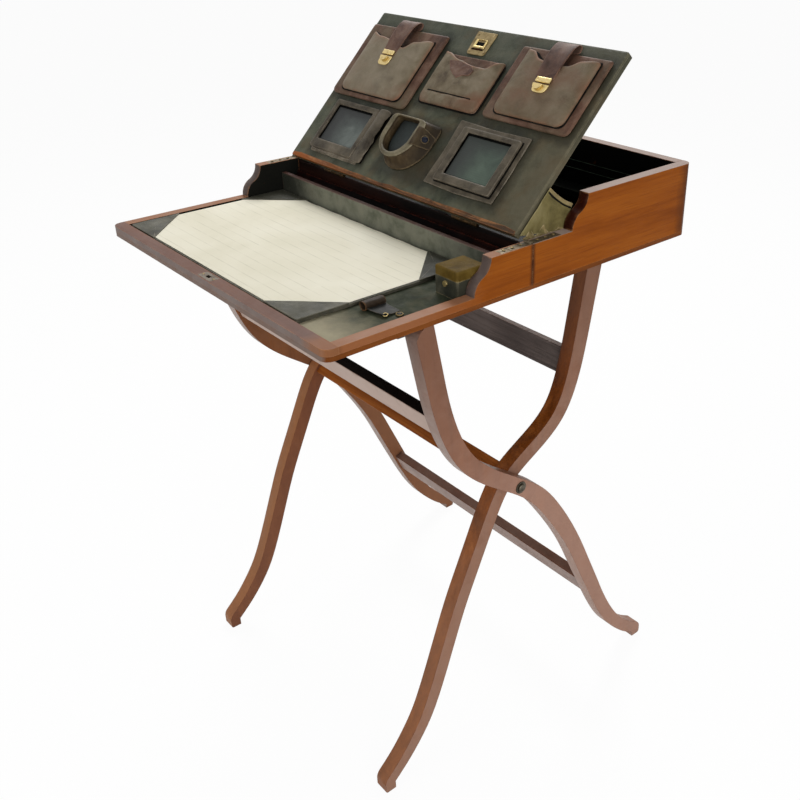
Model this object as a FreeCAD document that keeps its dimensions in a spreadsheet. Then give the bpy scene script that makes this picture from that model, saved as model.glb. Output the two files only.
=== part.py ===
import FreeCAD, Part
import math
import os
import re
from types import SimpleNamespace

import Sketcher
from FreeCAD import Placement, Rotation, Vector

# Driving dimensions in millimetres and degrees, one sheet cell each
SIZES = {
    # Whole desk
    "desk_width": 546.0,
    "half_depth": 304.0,
    "underside_height": 745.0,
    "writing_height": 760.0,
    "ledge_height": 804.0,
    "seam_gap": 0.5,
    "closing_gap": 0.5,
    "side_wall": 16.0,
    "bottom_board": 6.0,
    "corner_radius": 12.0,
    "ogee_start": 68.0,
    "ogee_run": 27.0,
    "ogee_gap": 0.6,
    "loose_fit": 0.2,
    "running_fit": 0.05,
    "soft_gap": 0.3,
    "overrun": 5.0,
    # Case
    "front_rail_thickness": 13.0,
    "rest_ledge_depth": 32.0,
    "rest_ledge_thickness": 10.0,
    # Flap hinges in the ledges
    "leaf_length": 50.0,
    "leaf_width": 12.0,
    "leaf_thickness": 1.6,
    "barrel_radius": 2.6,
    "hinge_pin_radius": 1.2,
    "barrel_pocket": 3.2,
    # Writing flap
    "frame_width": 18.0,
    "lining_thickness": 3.0,
    "cross_rail_reach": 32.0,
    "cross_rail_thickness": 8.0,
    "cross_rail_height": 36.0,
    "tray_height": 34.0,
    "tray_rear_gap": 1.0,
    "tray_lip": 2.6,
    "tray_groove_depth": 8.4,
    "tool_strip": 73.0,
    "blotter_margin": 3.0,
    "blotter_thickness": 4.5,
    "paper_thickness": 0.6,
    "paper_margin": 5.0,
    "corner_leg": 73.0,
    "corner_thickness": 1.0,
    # Inkwell and pen loop
    "inkwell_width": 42.0,
    "inkwell_length": 46.0,
    "inkwell_body_height": 24.0,
    "inkwell_lid_height": 12.0,
    "inkwell_side_gap": 1.0,
    "inkwell_rear": 61.0,
    "inkwell_edge": 3.0,
    "bottle_radius": 15.0,
    "bottle_wall": 3.0,
    "bottle_height": 20.0,
    "button_radius": 3.5,
    "button_length": 6.0,
    "button_proud": 2.5,
    "button_travel": 1.5,
    "button_rise": 17.0,
    "loop_radius": 6.5,
    "loop_wall": 1.5,
    "loop_length": 30.0,
    "loop_base_width": 18.0,
    "loop_base_thickness": 1.2,
    "loop_inset": 54.0,
    "loop_reach": 206.0,
    # Lock
    "lock_plate_length": 32.0,
    "lock_plate_width": 14.0,
    "lock_plate_thickness": 1.5,
    "lock_inset": 2.0,
    "lock_box_length": 28.0,
    "lock_box_width": 12.0,
    "lock_box_depth": 8.3,
    "lock_wall": 1.2,
    "lock_slot_length": 9.0,
    "lock_slot_width": 5.0,
    "hook_stem": 2.0,
    "hook_toe": 7.0,
    "hook_rise": 7.2,
    "toe_thickness": 1.5,
    "bolt_length": 7.0,
    "bolt_thickness": 1.4,
    "bolt_travel": 6.0,
    # Stationery panel, measured along its slope from the hinge
    "panel_side_gap": 4.0,
    "panel_length": 270.0,
    "panel_board_thickness": 9.0,
    "panel_cover_thickness": 2.0,
    "panel_angle": 45.0,
    "panel_stow_angle": 6.0,
    "panel_axis_front": 3.0,
    "panel_axis_drop": 0.5,
    "panel_barrel_radius": 3.0,
    "panel_pin_radius": 1.4,
    "panel_leaf_width": 50.0,
    "panel_leaf_length": 14.0,
    "panel_leaf_thickness": 1.6,
    # Leather pieces on the panel
    "leather": 2.0,
    "pocket_room": 8.0,
    "wallet_side_border": 17.0,
    "wallet_foot_border": 15.0,
    "wallet_mouth_border": 8.0,
    "strap_width": 36.0,
    "strap_top": 12.0,
    "strap_reach": 68.0,
    "clasp_width": 30.0,
    "clasp_length": 20.0,
    "clasp_plate": 1.2,
    "thumb_radius": 8.0,
    "thumb_thickness": 3.0,
    "thumb_travel": 3.0,
    "thumb_gap": 0.1,
    "photo_left_window_side": 6.0,
    "photo_frame_thickness": 4.0,
    "photo_right_frame_thickness": 2.6,
    "insert_thickness": 1.5,
    "watch_base_width": 86.0,
    "watch_radius": 40.0,
    "watch_opening_radius": 24.0,
    "watch_opening_head": 12.0,
    "watch_thickness": 19.0,
    "finger_plate_width": 43.0,
    "finger_plate_length": 33.0,
    "finger_plate_thickness": 1.5,
    "finger_hole": 14.0,
    # Prop behind the panel
    "prop_place": 100.0,
    "prop_length": 140.0,
    "prop_width": 60.0,
    "prop_thickness": 8.0,
    "prop_pin_radius": 2.0,
    "prop_pin_drop": 6.0,
    "prop_lug": 10.0,
    # Gussets
    "gusset_thickness": 1.2,
    "gusset_panel_reach": 74.0,
    "gusset_case_reach": 86.0,
    "gusset_case_rise": 28.0,
    "gusset_foot_drop": 5.0,
    "gusset_panel_foot": 3.0,
    "gusset_foot_rear": 72.0,
    # Folding stand
    "pivot_height": 450.0,
    "pivot_front": 8.0,
    "leg_run": 152.0,
    "leg_pin_drop": 8.0,
    "leg_pin_radius": 4.0,
    "leg_width": 24.0,
    "leg_thickness": 22.0,
    "leg_gap": 3.0,
    "leg_inset": 5.0,
    "leg_top_gap": 0.5,
    "leg_top_round": 22.0,
    "leg_top_round_shift": 3.0,
    "outer_foot_run": 302.0,
    "inner_foot_run": 239.0,
    "toe_round": 18.0,
    "sole_length": 18.0,
    "sole_height": 14.0,
    "sole_round": 4.0,
    "peg_radius": 5.0,
    "peg_length": 17.0,
    "stop_length": 24.0,
    "stop_width": 20.0,
    "stop_height": 18.0,
    "cleat_length": 36.0,
    "cleat_width": 24.0,
    "cleat_height": 21.0,
    "stretcher_thickness": 16.0,
    "outer_upper_stretcher": 32.0,
    "outer_lower_stretcher": 38.0,
    "inner_upper_stretcher": 38.0,
    "inner_middle_stretcher": 31.0,
    "bolt_radius": 4.0,
    "bolt_head_radius": 6.0,
    "bolt_head_height": 3.0,
    "washer_radius": 9.0,
    "washer_thickness": 1.4,
    "washer_play": 0.1,
}

# Places and widths across the panel, as shares of its width
ACROSS_SHARES = {
    "panel_hinge_side_share": 0.2964,
    "wallet_left_middle_share": -0.3172,
    "wallet_left_width_share": 0.3518,
    "wallet_right_middle_share": 0.3202,
    "wallet_right_width_share": 0.3103,
    "centre_middle_share": 0.0158,
    "centre_width_share": 0.2451,
    "notch_half_width_share": 0.0672,
    "photo_left_middle_share": -0.2994,
    "photo_left_width_share": 0.2668,
    "photo_left_window_width_share": 0.1798,
    "photo_right_middle_share": 0.2441,
    "photo_right_width_share": 0.2747,
    "photo_right_frame_width_share": 0.2213,
    "photo_right_window_width_share": 0.1719,
    "watch_middle_share": -0.0296,
}
# Places and lengths up the panel, as shares of its length
ALONG_SHARES = {
    "wallet_left_foot_share": 0.4333,
    "wallet_left_length_share": 0.4778,
    "wallet_right_foot_share": 0.5111,
    "wallet_right_length_share": 0.4222,
    "centre_foot_share": 0.5111,
    "centre_length_share": 0.3111,
    "notch_depth_share": 0.1222,
    "photo_left_foot_share": 0.0778,
    "photo_left_length_share": 0.3185,
    "photo_left_window_foot_share": 0.0593,
    "photo_left_window_length_share": 0.2296,
    "photo_right_foot_share": 0.0926,
    "photo_right_length_share": 0.3741,
    "photo_right_frame_length_share": 0.3111,
    "photo_right_window_length_share": 0.2333,
    "watch_base_foot_share": 0.0926,
    "watch_base_length_share": 0.3111,
    "watch_foot_share": 0.1407,
    "watch_length_share": 0.2556,
    "finger_plate_foot_share": 0.8481,
}
# Sizes that follow from the driving ones
FOLLOWING = {
    "inner_width": "desk_width - 2 * side_wall",
    "panel_width": "inner_width - 2 * panel_side_gap",
    "blotter_width": "inner_width - blotter_margin - tool_strip",
    "loop_side": "inner_width / 2 - loop_inset",
}
for shares, whole in ((ACROSS_SHARES, "panel_width"), (ALONG_SHARES, "panel_length")):
    for name, share in shares.items():
        FOLLOWING[name.replace("_share", "")] = "%s * %g" % (whole, share)

# Leg centre lines from the pivot outwards: shares of the run, of the rise or drop, and of the leg's width
OUTER_UPPER_SHARES = [
    (0.345, 0.135, 1.0),
    (0.61, 0.27, 1.04),
    (0.79, 0.44, 1.08),
    (0.90, 0.625, 1.12),
    (0.98, 0.835, 1.15),
    (1.04, 1.0, 1.17),
]
INNER_UPPER_SHARES = [
    (0.335, 0.115, 1.0),
    (0.64, 0.235, 1.04),
    (0.80, 0.40, 1.08),
    (0.905, 0.625, 1.12),
    (0.98, 0.835, 1.15),
    (1.04, 1.0, 1.17),
]
OUTER_LOWER_SHARES = [
    (0.109, 0.063, 1.10),
    (0.208, 0.147, 1.16),
    (0.302, 0.245, 1.12),
    (0.395, 0.360, 1.07),
    (0.470, 0.470, 1.06),
    (0.540, 0.573, 1.04),
    (0.603, 0.666, 0.99),
    (0.665, 0.747, 0.97),
    (0.725, 0.812, 0.93),
    (0.784, 0.862, 0.87),
    (0.838, 0.900, 0.84),
    (0.890, 0.930, 0.84),
    (0.940, 0.953, 0.84),
]
INNER_LOWER_SHARES = [
    (0.115, 0.090, 0.97),
    (0.200, 0.185, 0.95),
    (0.290, 0.288, 0.95),
    (0.376, 0.388, 0.95),
    (0.459, 0.501, 0.95),
    (0.530, 0.603, 0.96),
    (0.600, 0.698, 0.96),
    (0.680, 0.786, 0.94),
    (0.766, 0.852, 0.90),
    (0.845, 0.901, 0.85),
    (0.915, 0.937, 0.82),
    (0.970, 0.963, 0.82),
]
# Places of the stretchers along the legs, as shares of the rise or drop
OUTER_UPPER_STRETCHER_SHARE = 0.495
INNER_UPPER_STRETCHER_SHARE = 0.475
OUTER_LOWER_STRETCHER_SHARE = 0.62
# Folds across a gusset, as shares of the way from panel to case
GUSSET_FOLD_SHARES = [0.0, 0.2, 0.4, 0.6, 0.8, 1.0]

AXIS_X = Vector(1, 0, 0)
AXIS_Y = Vector(0, 1, 0)
AXIS_Z = Vector(0, 0, 1)
WORLD = Placement()
# Profile planes: local X and Y run along the named world axes
PROFILE_BACKWARD_UP = Rotation(AXIS_Y, AXIS_Z, AXIS_X, "ZXY")
PROFILE_FORWARD_UP = Rotation(-AXIS_Y, AXIS_Z, -AXIS_X, "ZXY")

doc = FreeCAD.newDocument("campaign_desk")
sheet = doc.addObject("Spreadsheet::Sheet", "Sizes")
cells = {alias: str(value) for alias, value in SIZES.items()}
cells.update({alias: "=" + text for alias, text in FOLLOWING.items()})
for row, (alias, text) in enumerate(cells.items(), 1):
    sheet.set("A%d" % row, alias)
    sheet.setAlias("B%d" % row, alias)
    sheet.set("B%d" % row, text)
doc.recompute()
s = SimpleNamespace(**{alias: float(sheet.get(alias)) for alias in cells})


def linked(text):
    """The expression with every size name pointed at its sheet cell."""
    def pointed(match):
        word = match.group()
        return "Sizes." + word if word in cells else word

    return re.sub(r"[a-z][a-z_0-9]*", pointed, text)


def number(text):
    """The value of an expression in sheet sizes."""
    return float(sheet.evalExpression(linked(text)))


def at(x, y, z, rotation=Rotation()):
    return Placement(Vector(x, y, z), rotation)


def box(label, size, corner, frame=WORLD):
    """A block whose three lengths are expressions, with its lowest corner at a point of the frame."""
    item = doc.addObject("Part::Box", label)
    for side, text in zip(("Length", "Width", "Height"), size):
        item.setExpression(side, linked(text))
    item.Placement = frame.multiply(at(*corner))
    return item


def cylinder(label, radius, length, start, direction, frame=WORLD):
    item = doc.addObject("Part::Cylinder", label)
    item.setExpression("Radius", linked(radius))
    item.setExpression("Height", linked(length))
    item.Placement = frame.multiply(at(*start, Rotation(AXIS_Z, direction)))
    return item


def fuse(label, *items):
    whole = doc.addObject("Part::MultiFuse", label)
    whole.Shapes = list(items)
    whole.Refine = True
    return whole


def cut(label, base, *tools):
    rest = doc.addObject("Part::Cut", label)
    rest.Base = base
    rest.Tool = tools[0] if len(tools) == 1 else fuse(label + "_tools", *tools)
    return rest


def group(label, *items):
    """Separate solids that share one node."""
    several = doc.addObject("Part::Compound", label)
    several.Links = list(items)
    return several


def feature(label, shape, frame=WORLD):
    item = doc.addObject("Part::Feature", label)
    item.Shape = shape
    item.Placement = frame
    return item


def rounded(label, base, radius, wanted):
    """The base with the edges that wanted() picks rounded."""
    doc.recompute()
    edges = [i for i, edge in enumerate(base.Shape.Edges, 1) if wanted(edge)]
    soft = doc.addObject("Part::Fillet", label)
    soft.Base = base
    soft.Edges = [(i, radius, radius) for i in edges]
    return soft


def runs_along(edge, direction):
    return abs(edge.tangentAt(edge.FirstParameter).dot(direction)) > 0.999


def arc_middle(start, end, radius):
    """The middle of an arc that bulges left of start to end, or right if radius is negative."""
    half = (end - start) * 0.5
    sagitta = abs(radius) - math.sqrt(max(radius * radius - half.Length ** 2, 0.0))
    left = Vector(-half.y, half.x, 0).normalize()
    return start + half + left * math.copysign(sagitta, radius)


def arc_centre(start, end, radius):
    """Which coordinate of an arc's centre to fix, and the expression for it."""
    run = "((%s) - (%s))" % (end[0], start[0])
    rise = "((%s) - (%s))" % (end[1], start[1])
    chord = "(%s ^ 2 + %s ^ 2)" % (run, rise)
    bulge = 1 if number(radius) > 0 else -1
    share = "%d * sqrt(abs((%s) ^ 2 / %s - 1 / 4))" % (bulge, radius, chord)
    if abs(number(rise)) > abs(number(run)):
        return "DistanceX", "((%s) + (%s)) / 2 + %s * %s" % (start[0], end[0], share, rise)
    return "DistanceY", "((%s) + (%s)) / 2 - %s * %s" % (start[1], end[1], share, run)


def add_loop(sketch, loop):
    """Draws one closed loop. A vertex is (x, y) or (x, y, radius of the arc to the next vertex)."""
    points = [Vector(number(vertex[0]), number(vertex[1]), 0) for vertex in loop]
    first = sketch.GeometryCount
    count = len(loop)
    tips = []
    for i, vertex in enumerate(loop):
        start, end = points[i], points[(i + 1) % count]
        if len(vertex) > 2:
            sketch.addGeometry(Part.Arc(start, arc_middle(start, end, number(vertex[2])), end), False)
            # An arc's first end is the one it leaves anticlockwise
            tips.append((1, 2) if number(vertex[2]) < 0 else (2, 1))
        else:
            sketch.addGeometry(Part.LineSegment(start, end), False)
            tips.append((1, 2))
    for i, vertex in enumerate(loop):
        after = (i + 1) % count
        meeting = (first + i, tips[i][1], first + after, tips[after][0])
        sketch.addConstraint(Sketcher.Constraint("Coincident", *meeting))
        fixed = [("DistanceX", tips[i][0], vertex[0]), ("DistanceY", tips[i][0], vertex[1])]
        if len(vertex) > 2:
            kind, text = arc_centre(vertex, loop[after], vertex[2])
            fixed.append((kind, 3, text))
        for kind, point, text in fixed:
            rule = sketch.addConstraint(Sketcher.Constraint(kind, -1, 1, first + i, point, number(text)))
            sketch.setExpression("Constraints[%d]" % rule, linked(text))


def outline_body(label, loops, depth, frame=WORLD):
    """A body padded from a sketch on its XY plane."""
    body = doc.addObject("PartDesign::Body", label)
    sketch = body.newObject("Sketcher::SketchObject", label + "_outline")
    plane = [f for f in body.Origin.OriginFeatures if f.Role == "XY_Plane"][0]
    sketch.AttachmentSupport = [(plane, "")]
    sketch.MapMode = "FlatFace"
    for loop in loops:
        add_loop(sketch, loop)
    pad = body.newObject("PartDesign::Pad", label + "_pad")
    pad.Profile = sketch
    pad.setExpression("Length", linked(depth))
    body.Tip = pad
    body.Placement = frame
    return body


def rectangle(width, length, middle="0", foot="0"):
    """A loop centred on middle across its width, standing on foot."""
    left = "%s - (%s) / 2" % (middle, width)
    right = "%s + (%s) / 2" % (middle, width)
    top = "%s + %s" % (foot, length)
    return [(left, foot), (right, foot), (right, top), (left, top)]


# Derived places that several pieces share
half_width = s.desk_width / 2
inner_side = half_width - s.side_wall
floor_top = s.underside_height + s.bottom_board
ledge_top = s.ledge_height - s.closing_gap / 2
seam = s.seam_gap / 2
lining_top = floor_top + s.lining_thickness
panel_axis = Vector(0, -s.panel_axis_front, s.ledge_height - s.panel_axis_drop)
panel_hinge_offset = s.panel_barrel_radius + s.loose_fit
panel_front = panel_hinge_offset + s.panel_board_thickness + s.panel_cover_thickness
panel_frame = Placement(panel_axis, Rotation(AXIS_X, s.panel_angle))
front_rail_top = panel_axis.z - s.panel_barrel_radius - s.loose_fit

# The same places as expressions for bound sizes
LEDGE_RISE = "(ledge_height - closing_gap / 2 - underside_height - bottom_board)"
FRAME_RISE = "(writing_height - underside_height - bottom_board)"
CASE_RISE = "(2 * ledge_height - writing_height - closing_gap - underside_height - bottom_board)"


def ogee_loop(near, start, far, far_rise):
    """Side outline: ledge by the seam, then an ogee of two arcs to the far height."""
    end = "(%s + ogee_run)" % start
    middle = ("%s + ogee_run / 2" % start, "(%s + %s) / 2" % (far_rise, LEDGE_RISE))
    radius = "((ogee_run / 2) ^ 2 + ((%s - %s) / 2) ^ 2) / ogee_run" % (far_rise, LEDGE_RISE)
    rises = number(far_rise) > number(LEDGE_RISE)
    first, second = (radius, "0 - " + radius) if rises else ("0 - " + radius, radius)
    return [
        (near, "0"),
        (far, "0"),
        (far, far_rise),
        (end, far_rise, first),
        (middle[0], middle[1], second),
        (start, LEDGE_RISE),
        (near, LEDGE_RISE),
    ]


def hinge_recess(label, side, direction):
    """The bed for one hinge leaf and its barrel in the top of a ledge, on one side of the seam."""
    across = side * (half_width - s.side_wall / 2) - s.leaf_width / 2
    near = 0 if direction > 0 else -s.leaf_length
    bed = box(
        label + "_bed",
        ("leaf_width", "leaf_length", "leaf_thickness + overrun"),
        (across, near, ledge_top - s.leaf_thickness),
    )
    barrel = box(
        label + "_barrel",
        ("leaf_width", "2 * barrel_pocket", "2 * barrel_pocket"),
        (across, -s.barrel_pocket, s.ledge_height - s.barrel_pocket),
    )
    return [bed, barrel]


def hinge_leaf(label, side, direction, shares, pin):
    """One leaf of a flap hinge: plate, knuckles at shares of its width, and the pin bore or pin."""
    across = side * (half_width - s.side_wall / 2) - s.leaf_width / 2
    near = 0 if direction > 0 else -s.leaf_length
    plate = box(
        label + "_plate",
        ("leaf_width", "leaf_length", "leaf_thickness"),
        (across, near, ledge_top - s.leaf_thickness),
    )
    clear = []
    knuckles = []
    for i, (low_share, high_share) in enumerate(shares):
        knuckles.append(cylinder(
            "%s_knuckle_%d" % (label, i),
            "barrel_radius",
            "leaf_width * %g - loose_fit" % (high_share - low_share),
            (across + s.leaf_width * low_share + s.loose_fit / 2, 0, s.ledge_height),
            AXIS_X,
        ))
    for i, (low_share, high_share) in enumerate([(0, 1 / 3), (1 / 3, 2 / 3), (2 / 3, 1)]):
        if (low_share, high_share) not in shares:
            clear.append(cylinder(
                "%s_clear_%d" % (label, i),
                "barrel_radius + loose_fit",
                "leaf_width * %g + loose_fit" % (high_share - low_share),
                (across + s.leaf_width * low_share - s.loose_fit / 2, 0, s.ledge_height),
                AXIS_X,
            ))
    whole = fuse(label + "_whole", cut(label + "_open", plate, *clear), *knuckles)
    start = (across + s.loose_fit / 2, 0, s.ledge_height)
    if pin:
        rod = cylinder(label + "_pin", "hinge_pin_radius", "leaf_width - loose_fit", start, AXIS_X)
        return fuse(label, whole, rod)
    bore = cylinder(label + "_bore", "hinge_pin_radius + running_fit", "leaf_width", start, AXIS_X)
    return cut(label, whole, bore)


SIDES = (("left", -1), ("right", 1))


def make_case():
    nodes = []
    bottom = [
        ("0 - desk_width / 2", "seam_gap / 2"),
        ("desk_width / 2", "seam_gap / 2"),
        ("desk_width / 2", "half_depth - corner_radius", "0 - corner_radius"),
        ("desk_width / 2 - corner_radius", "half_depth"),
        ("corner_radius - desk_width / 2", "half_depth", "0 - corner_radius"),
        ("0 - desk_width / 2", "half_depth - corner_radius"),
    ]
    nodes.append(outline_body("case_bottom", [bottom], "bottom_board", at(0, 0, s.underside_height)))
    for name, side in SIDES:
        label = "case_%s_side" % name
        loop = ogee_loop("seam_gap / 2", "(ogee_start + ogee_gap)", "half_depth", CASE_RISE)
        left_edge = -half_width if side < 0 else inner_side
        frame = at(left_edge, 0, floor_top, PROFILE_BACKWARD_UP)
        board = outline_body(label + "_board", [loop], "side_wall", frame)
        outer = side * half_width

        def rear_corner(edge, outer=outer):
            middle = edge.CenterOfMass
            upright = runs_along(edge, AXIS_Z)
            at_side = abs(middle.x - outer) < s.loose_fit
            return upright and at_side and abs(middle.y - s.half_depth) < s.loose_fit

        eased = rounded(label + "_eased", board, s.corner_radius, rear_corner)
        nodes.append(cut(label, eased, *hinge_recess(label + "_recess", side, 1)))

    case_top = 2 * s.ledge_height - s.writing_height - s.closing_gap
    back = box(
        "case_back_board",
        ("inner_width", "side_wall", CASE_RISE),
        (-inner_side, s.half_depth - s.side_wall, floor_top),
    )
    link_y = s.half_depth - s.lock_inset - s.lock_plate_width
    link_bed = box(
        "case_back_bed",
        ("lock_plate_length", "lock_plate_width", "lock_plate_thickness + overrun"),
        (-s.lock_plate_length / 2, link_y, case_top - s.lock_plate_thickness),
    )
    nodes.append(cut("case_back", back, link_bed))
    under_hinge = "ledge_height - panel_axis_drop - panel_barrel_radius - loose_fit"
    nodes.append(box(
        "case_front_rail",
        ("inner_width", "front_rail_thickness", under_hinge + " - underside_height - bottom_board"),
        (-inner_side, seam, floor_top),
    ))
    stow = math.radians(s.panel_stow_angle)
    end_height = panel_axis.z + panel_hinge_offset * math.cos(stow) - s.panel_length * math.sin(stow)
    ledge = end_height - s.soft_gap - s.rest_ledge_thickness
    nodes.append(box(
        "panel_rest_ledge",
        ("inner_width", "rest_ledge_depth", "rest_ledge_thickness"),
        (-inner_side, s.half_depth - s.side_wall - s.rest_ledge_depth, ledge),
    ))
    nodes.append(link_plate(case_top, link_y))
    leaves = [hinge_leaf("case_leaf_" + n, side, 1, [(1 / 3, 2 / 3)], True) for n, side in SIDES]
    nodes.append(group("flap_hinge_case_leaves", *leaves))
    nodes.append(panel_hinge_case_leaves())
    nodes.extend(gusset(name, side) for name, side in SIDES)
    return nodes


def link_plate(case_top, link_y):
    """Brass plate on the back with the hook that the lock bolt catches when the desk is shut."""
    plate = box(
        "link_plate_base",
        ("lock_plate_length", "lock_plate_width", "lock_plate_thickness"),
        (-s.lock_plate_length / 2, link_y, case_top - s.lock_plate_thickness),
    )
    middle_y = link_y + s.lock_plate_width / 2 - s.hook_stem / 2
    stem_x = s.lock_slot_length / 2 - s.hook_stem - s.soft_gap
    stem = box(
        "link_hook_stem",
        ("hook_stem", "hook_stem", "hook_rise + lock_plate_thickness"),
        (stem_x, middle_y, case_top - s.lock_plate_thickness),
    )
    toe = box(
        "link_hook_toe",
        ("hook_toe", "hook_stem", "toe_thickness"),
        (stem_x + s.hook_stem - s.hook_toe, middle_y, case_top + s.hook_rise - s.toe_thickness),
    )
    return fuse("lock_link_plate", plate, stem, toe)


def panel_knuckle(label, middle, low_share, high_share, radius):
    """A round piece on the panel's hinge axis between two shares of the leaf's width."""
    start = middle - s.panel_leaf_width / 2 + s.panel_leaf_width * low_share + s.loose_fit / 2
    length = "panel_leaf_width * %g - loose_fit" % (high_share - low_share)
    return cylinder(label, radius, length, (start, panel_axis.y, panel_axis.z), AXIS_X)


def panel_hinge_case_leaves():
    leaves = []
    for name, side in SIDES:
        label = "panel_case_leaf_" + name
        middle = side * s.panel_hinge_side
        plate = box(
            label + "_plate",
            ("panel_leaf_width / 3 - loose_fit", "panel_leaf_length", "panel_leaf_thickness"),
            (middle - s.panel_leaf_width / 6 + s.loose_fit / 2, panel_axis.y, front_rail_top),
        )
        knuckle = panel_knuckle(label + "_knuckle", middle, 1 / 3, 2 / 3, "panel_barrel_radius")
        pin = panel_knuckle(label + "_pin", middle, 0, 1, "panel_pin_radius")
        leaves.append(fuse(label, plate, knuckle, pin))
    return group("panel_hinge_case_leaves", *leaves)


def gusset(name, side):
    """A pleated leather web from the panel's edge to the case side, lofted through its folds."""
    inner = s.panel_width / 2 + s.soft_gap
    outer = inner_side - s.soft_gap
    thin = min(s.gusset_thickness, (outer - inner) / 2)
    fold = outer - inner - thin
    edge_middle = panel_hinge_offset + s.panel_board_thickness / 2
    panel_foot = panel_frame.multVec(Vector(0, s.gusset_panel_foot, edge_middle))
    panel_head = panel_frame.multVec(Vector(0, s.gusset_panel_reach, edge_middle))
    case_foot = Vector(0, s.gusset_foot_rear, ledge_top - s.gusset_foot_drop)
    case_head = Vector(0, s.gusset_case_reach, ledge_top + s.gusset_case_rise)
    wires = []
    for i, share in enumerate(GUSSET_FOLD_SHARES):
        low = panel_foot + (case_foot - panel_foot) * share
        high = panel_head + (case_head - panel_head) * share
        near = inner + fold * (i % 2)
        corners = []
        for point, x in ((low, near), (high, near), (high, near + thin), (low, near + thin)):
            corners.append(Vector(side * x, point.y, point.z))
        wires.append(Part.makePolygon(corners + corners[:1]))
    return feature("gusset_" + name, Part.makeLoft(wires, True, True))


def make_flap():
    nodes = []
    board = [
        ("0 - desk_width / 2", "0 - seam_gap / 2"),
        ("0 - desk_width / 2", "corner_radius - half_depth", "0 - corner_radius"),
        ("corner_radius - desk_width / 2", "0 - half_depth"),
        ("desk_width / 2 - corner_radius", "0 - half_depth", "0 - corner_radius"),
        ("desk_width / 2", "corner_radius - half_depth"),
        ("desk_width / 2", "0 - seam_gap / 2"),
    ]
    nodes.append(outline_body("flap_board", [board], "bottom_board", at(0, 0, s.underside_height)))
    rail = [
        ("0 - desk_width / 2", "frame_width - half_depth"),
        *board[1:5],
        ("desk_width / 2", "frame_width - half_depth"),
    ]
    frame_rail = outline_body("flap_front_rail_blank", [rail], FRAME_RISE, at(0, 0, floor_top))
    nodes.append(cut("flap_front_rail", frame_rail, *lock_bed()))
    for name, side in SIDES:
        label = "flap_%s_side" % name
        loop = ogee_loop("seam_gap / 2", "ogee_start", "half_depth - frame_width", FRAME_RISE)
        right_edge = half_width if side > 0 else -inner_side
        frame = at(right_edge, 0, floor_top, PROFILE_FORWARD_UP)
        blank = outline_body(label + "_board", [loop], "side_wall", frame)
        nodes.append(cut(label, blank, *hinge_recess(label + "_recess", side, -1)))
    rail_front = -s.cross_rail_reach
    lining_length = "half_depth - frame_width - cross_rail_reach - 2 * loose_fit"
    nodes.append(box(
        "flap_lining",
        ("inner_width - 2 * loose_fit", lining_length, "lining_thickness"),
        (-inner_side + s.loose_fit, s.frame_width - s.half_depth + s.loose_fit, floor_top),
    ))
    nodes.append(box(
        "flap_cross_rail",
        ("inner_width", "cross_rail_thickness", "cross_rail_height"),
        (-inner_side, rail_front, floor_top),
    ))
    nodes.append(pen_tray())
    nodes.extend(blotter())
    nodes.append(pen_loop())
    nodes.extend(inkwell())
    nodes.extend(lock())
    leaves = []
    for name, side in SIDES:
        leaves.append(hinge_leaf("flap_leaf_" + name, side, -1, [(0, 1 / 3), (2 / 3, 1)], False))
    nodes.append(group("flap_hinge_flap_leaves", *leaves))
    nodes.append(group("leg_stops", *[leg_stop(name, side) for name, side in SIDES]))
    return nodes


def pen_tray():
    """A grooved bar between the cross rail and the seam, outlined from the seam forwards."""
    far = "(cross_rail_reach - cross_rail_thickness - loose_fit)"
    chord = "(%s - tray_rear_gap - 2 * tray_lip)" % far
    radius = "((%s / 2) ^ 2 + tray_groove_depth ^ 2) / (2 * tray_groove_depth)" % chord
    loop = [
        ("tray_rear_gap", "0"),
        (far, "0"),
        (far, "tray_height"),
        (far + " - tray_lip", "tray_height", radius),
        ("tray_rear_gap + tray_lip", "tray_height"),
        ("tray_rear_gap", "tray_height"),
    ]
    frame = at(inner_side - s.loose_fit, 0, floor_top, PROFILE_FORWARD_UP)
    return outline_body("pen_tray", [loop], "inner_width - 2 * loose_fit", frame)


def blotter():
    """Blotter board, its paper and four leather corners, from the left front of the lining."""
    left = -inner_side + s.blotter_margin
    front = s.frame_width - s.half_depth + s.blotter_margin
    length = "(half_depth - frame_width - cross_rail_reach - 2 * blotter_margin)"
    size = ("blotter_width", length, "blotter_thickness")
    board = box("blotter_board", size, (left, front, lining_top))
    paper_z = lining_top + s.blotter_thickness
    paper = box(
        "blotter_paper",
        ("blotter_width - 2 * paper_margin", length + " - 2 * paper_margin", "paper_thickness"),
        (left + s.paper_margin, front + s.paper_margin, paper_z),
    )
    corner_z = paper_z + s.paper_thickness
    right = left + s.blotter_width
    rear = front + number(length)
    corners = []
    places = ((left, front, 0), (right, front, 90), (right, rear, 180), (left, rear, 270))
    for i, (x, y, turn) in enumerate(places):
        loop = [("0", "0"), ("corner_leg", "0"), ("0", "corner_leg")]
        corners.append(outline_body(
            "blotter_corner_%d" % i,
            [loop],
            "corner_thickness",
            at(x, y, corner_z, Rotation(AXIS_Z, turn)),
        ))
    return [board, paper, group("blotter_corners", *corners)]


def pen_loop():
    base_top = lining_top + s.loop_base_thickness
    base = box(
        "pen_loop_base",
        ("loop_base_width", "loop_length", "loop_base_thickness"),
        (s.loop_side - s.loop_base_width / 2, -s.loop_reach, lining_top),
    )
    middle = (s.loop_side, -s.loop_reach, base_top + s.loop_radius - s.loop_wall / 2)
    tube = cylinder("pen_loop_tube", "loop_radius", "loop_length", middle, AXIS_Y)
    bore = cylinder("pen_loop_bore", "loop_radius - loop_wall", "loop_length", middle, AXIS_Y)
    return cut("pen_loop", fuse("pen_loop_whole", base, tube), bore)


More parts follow.
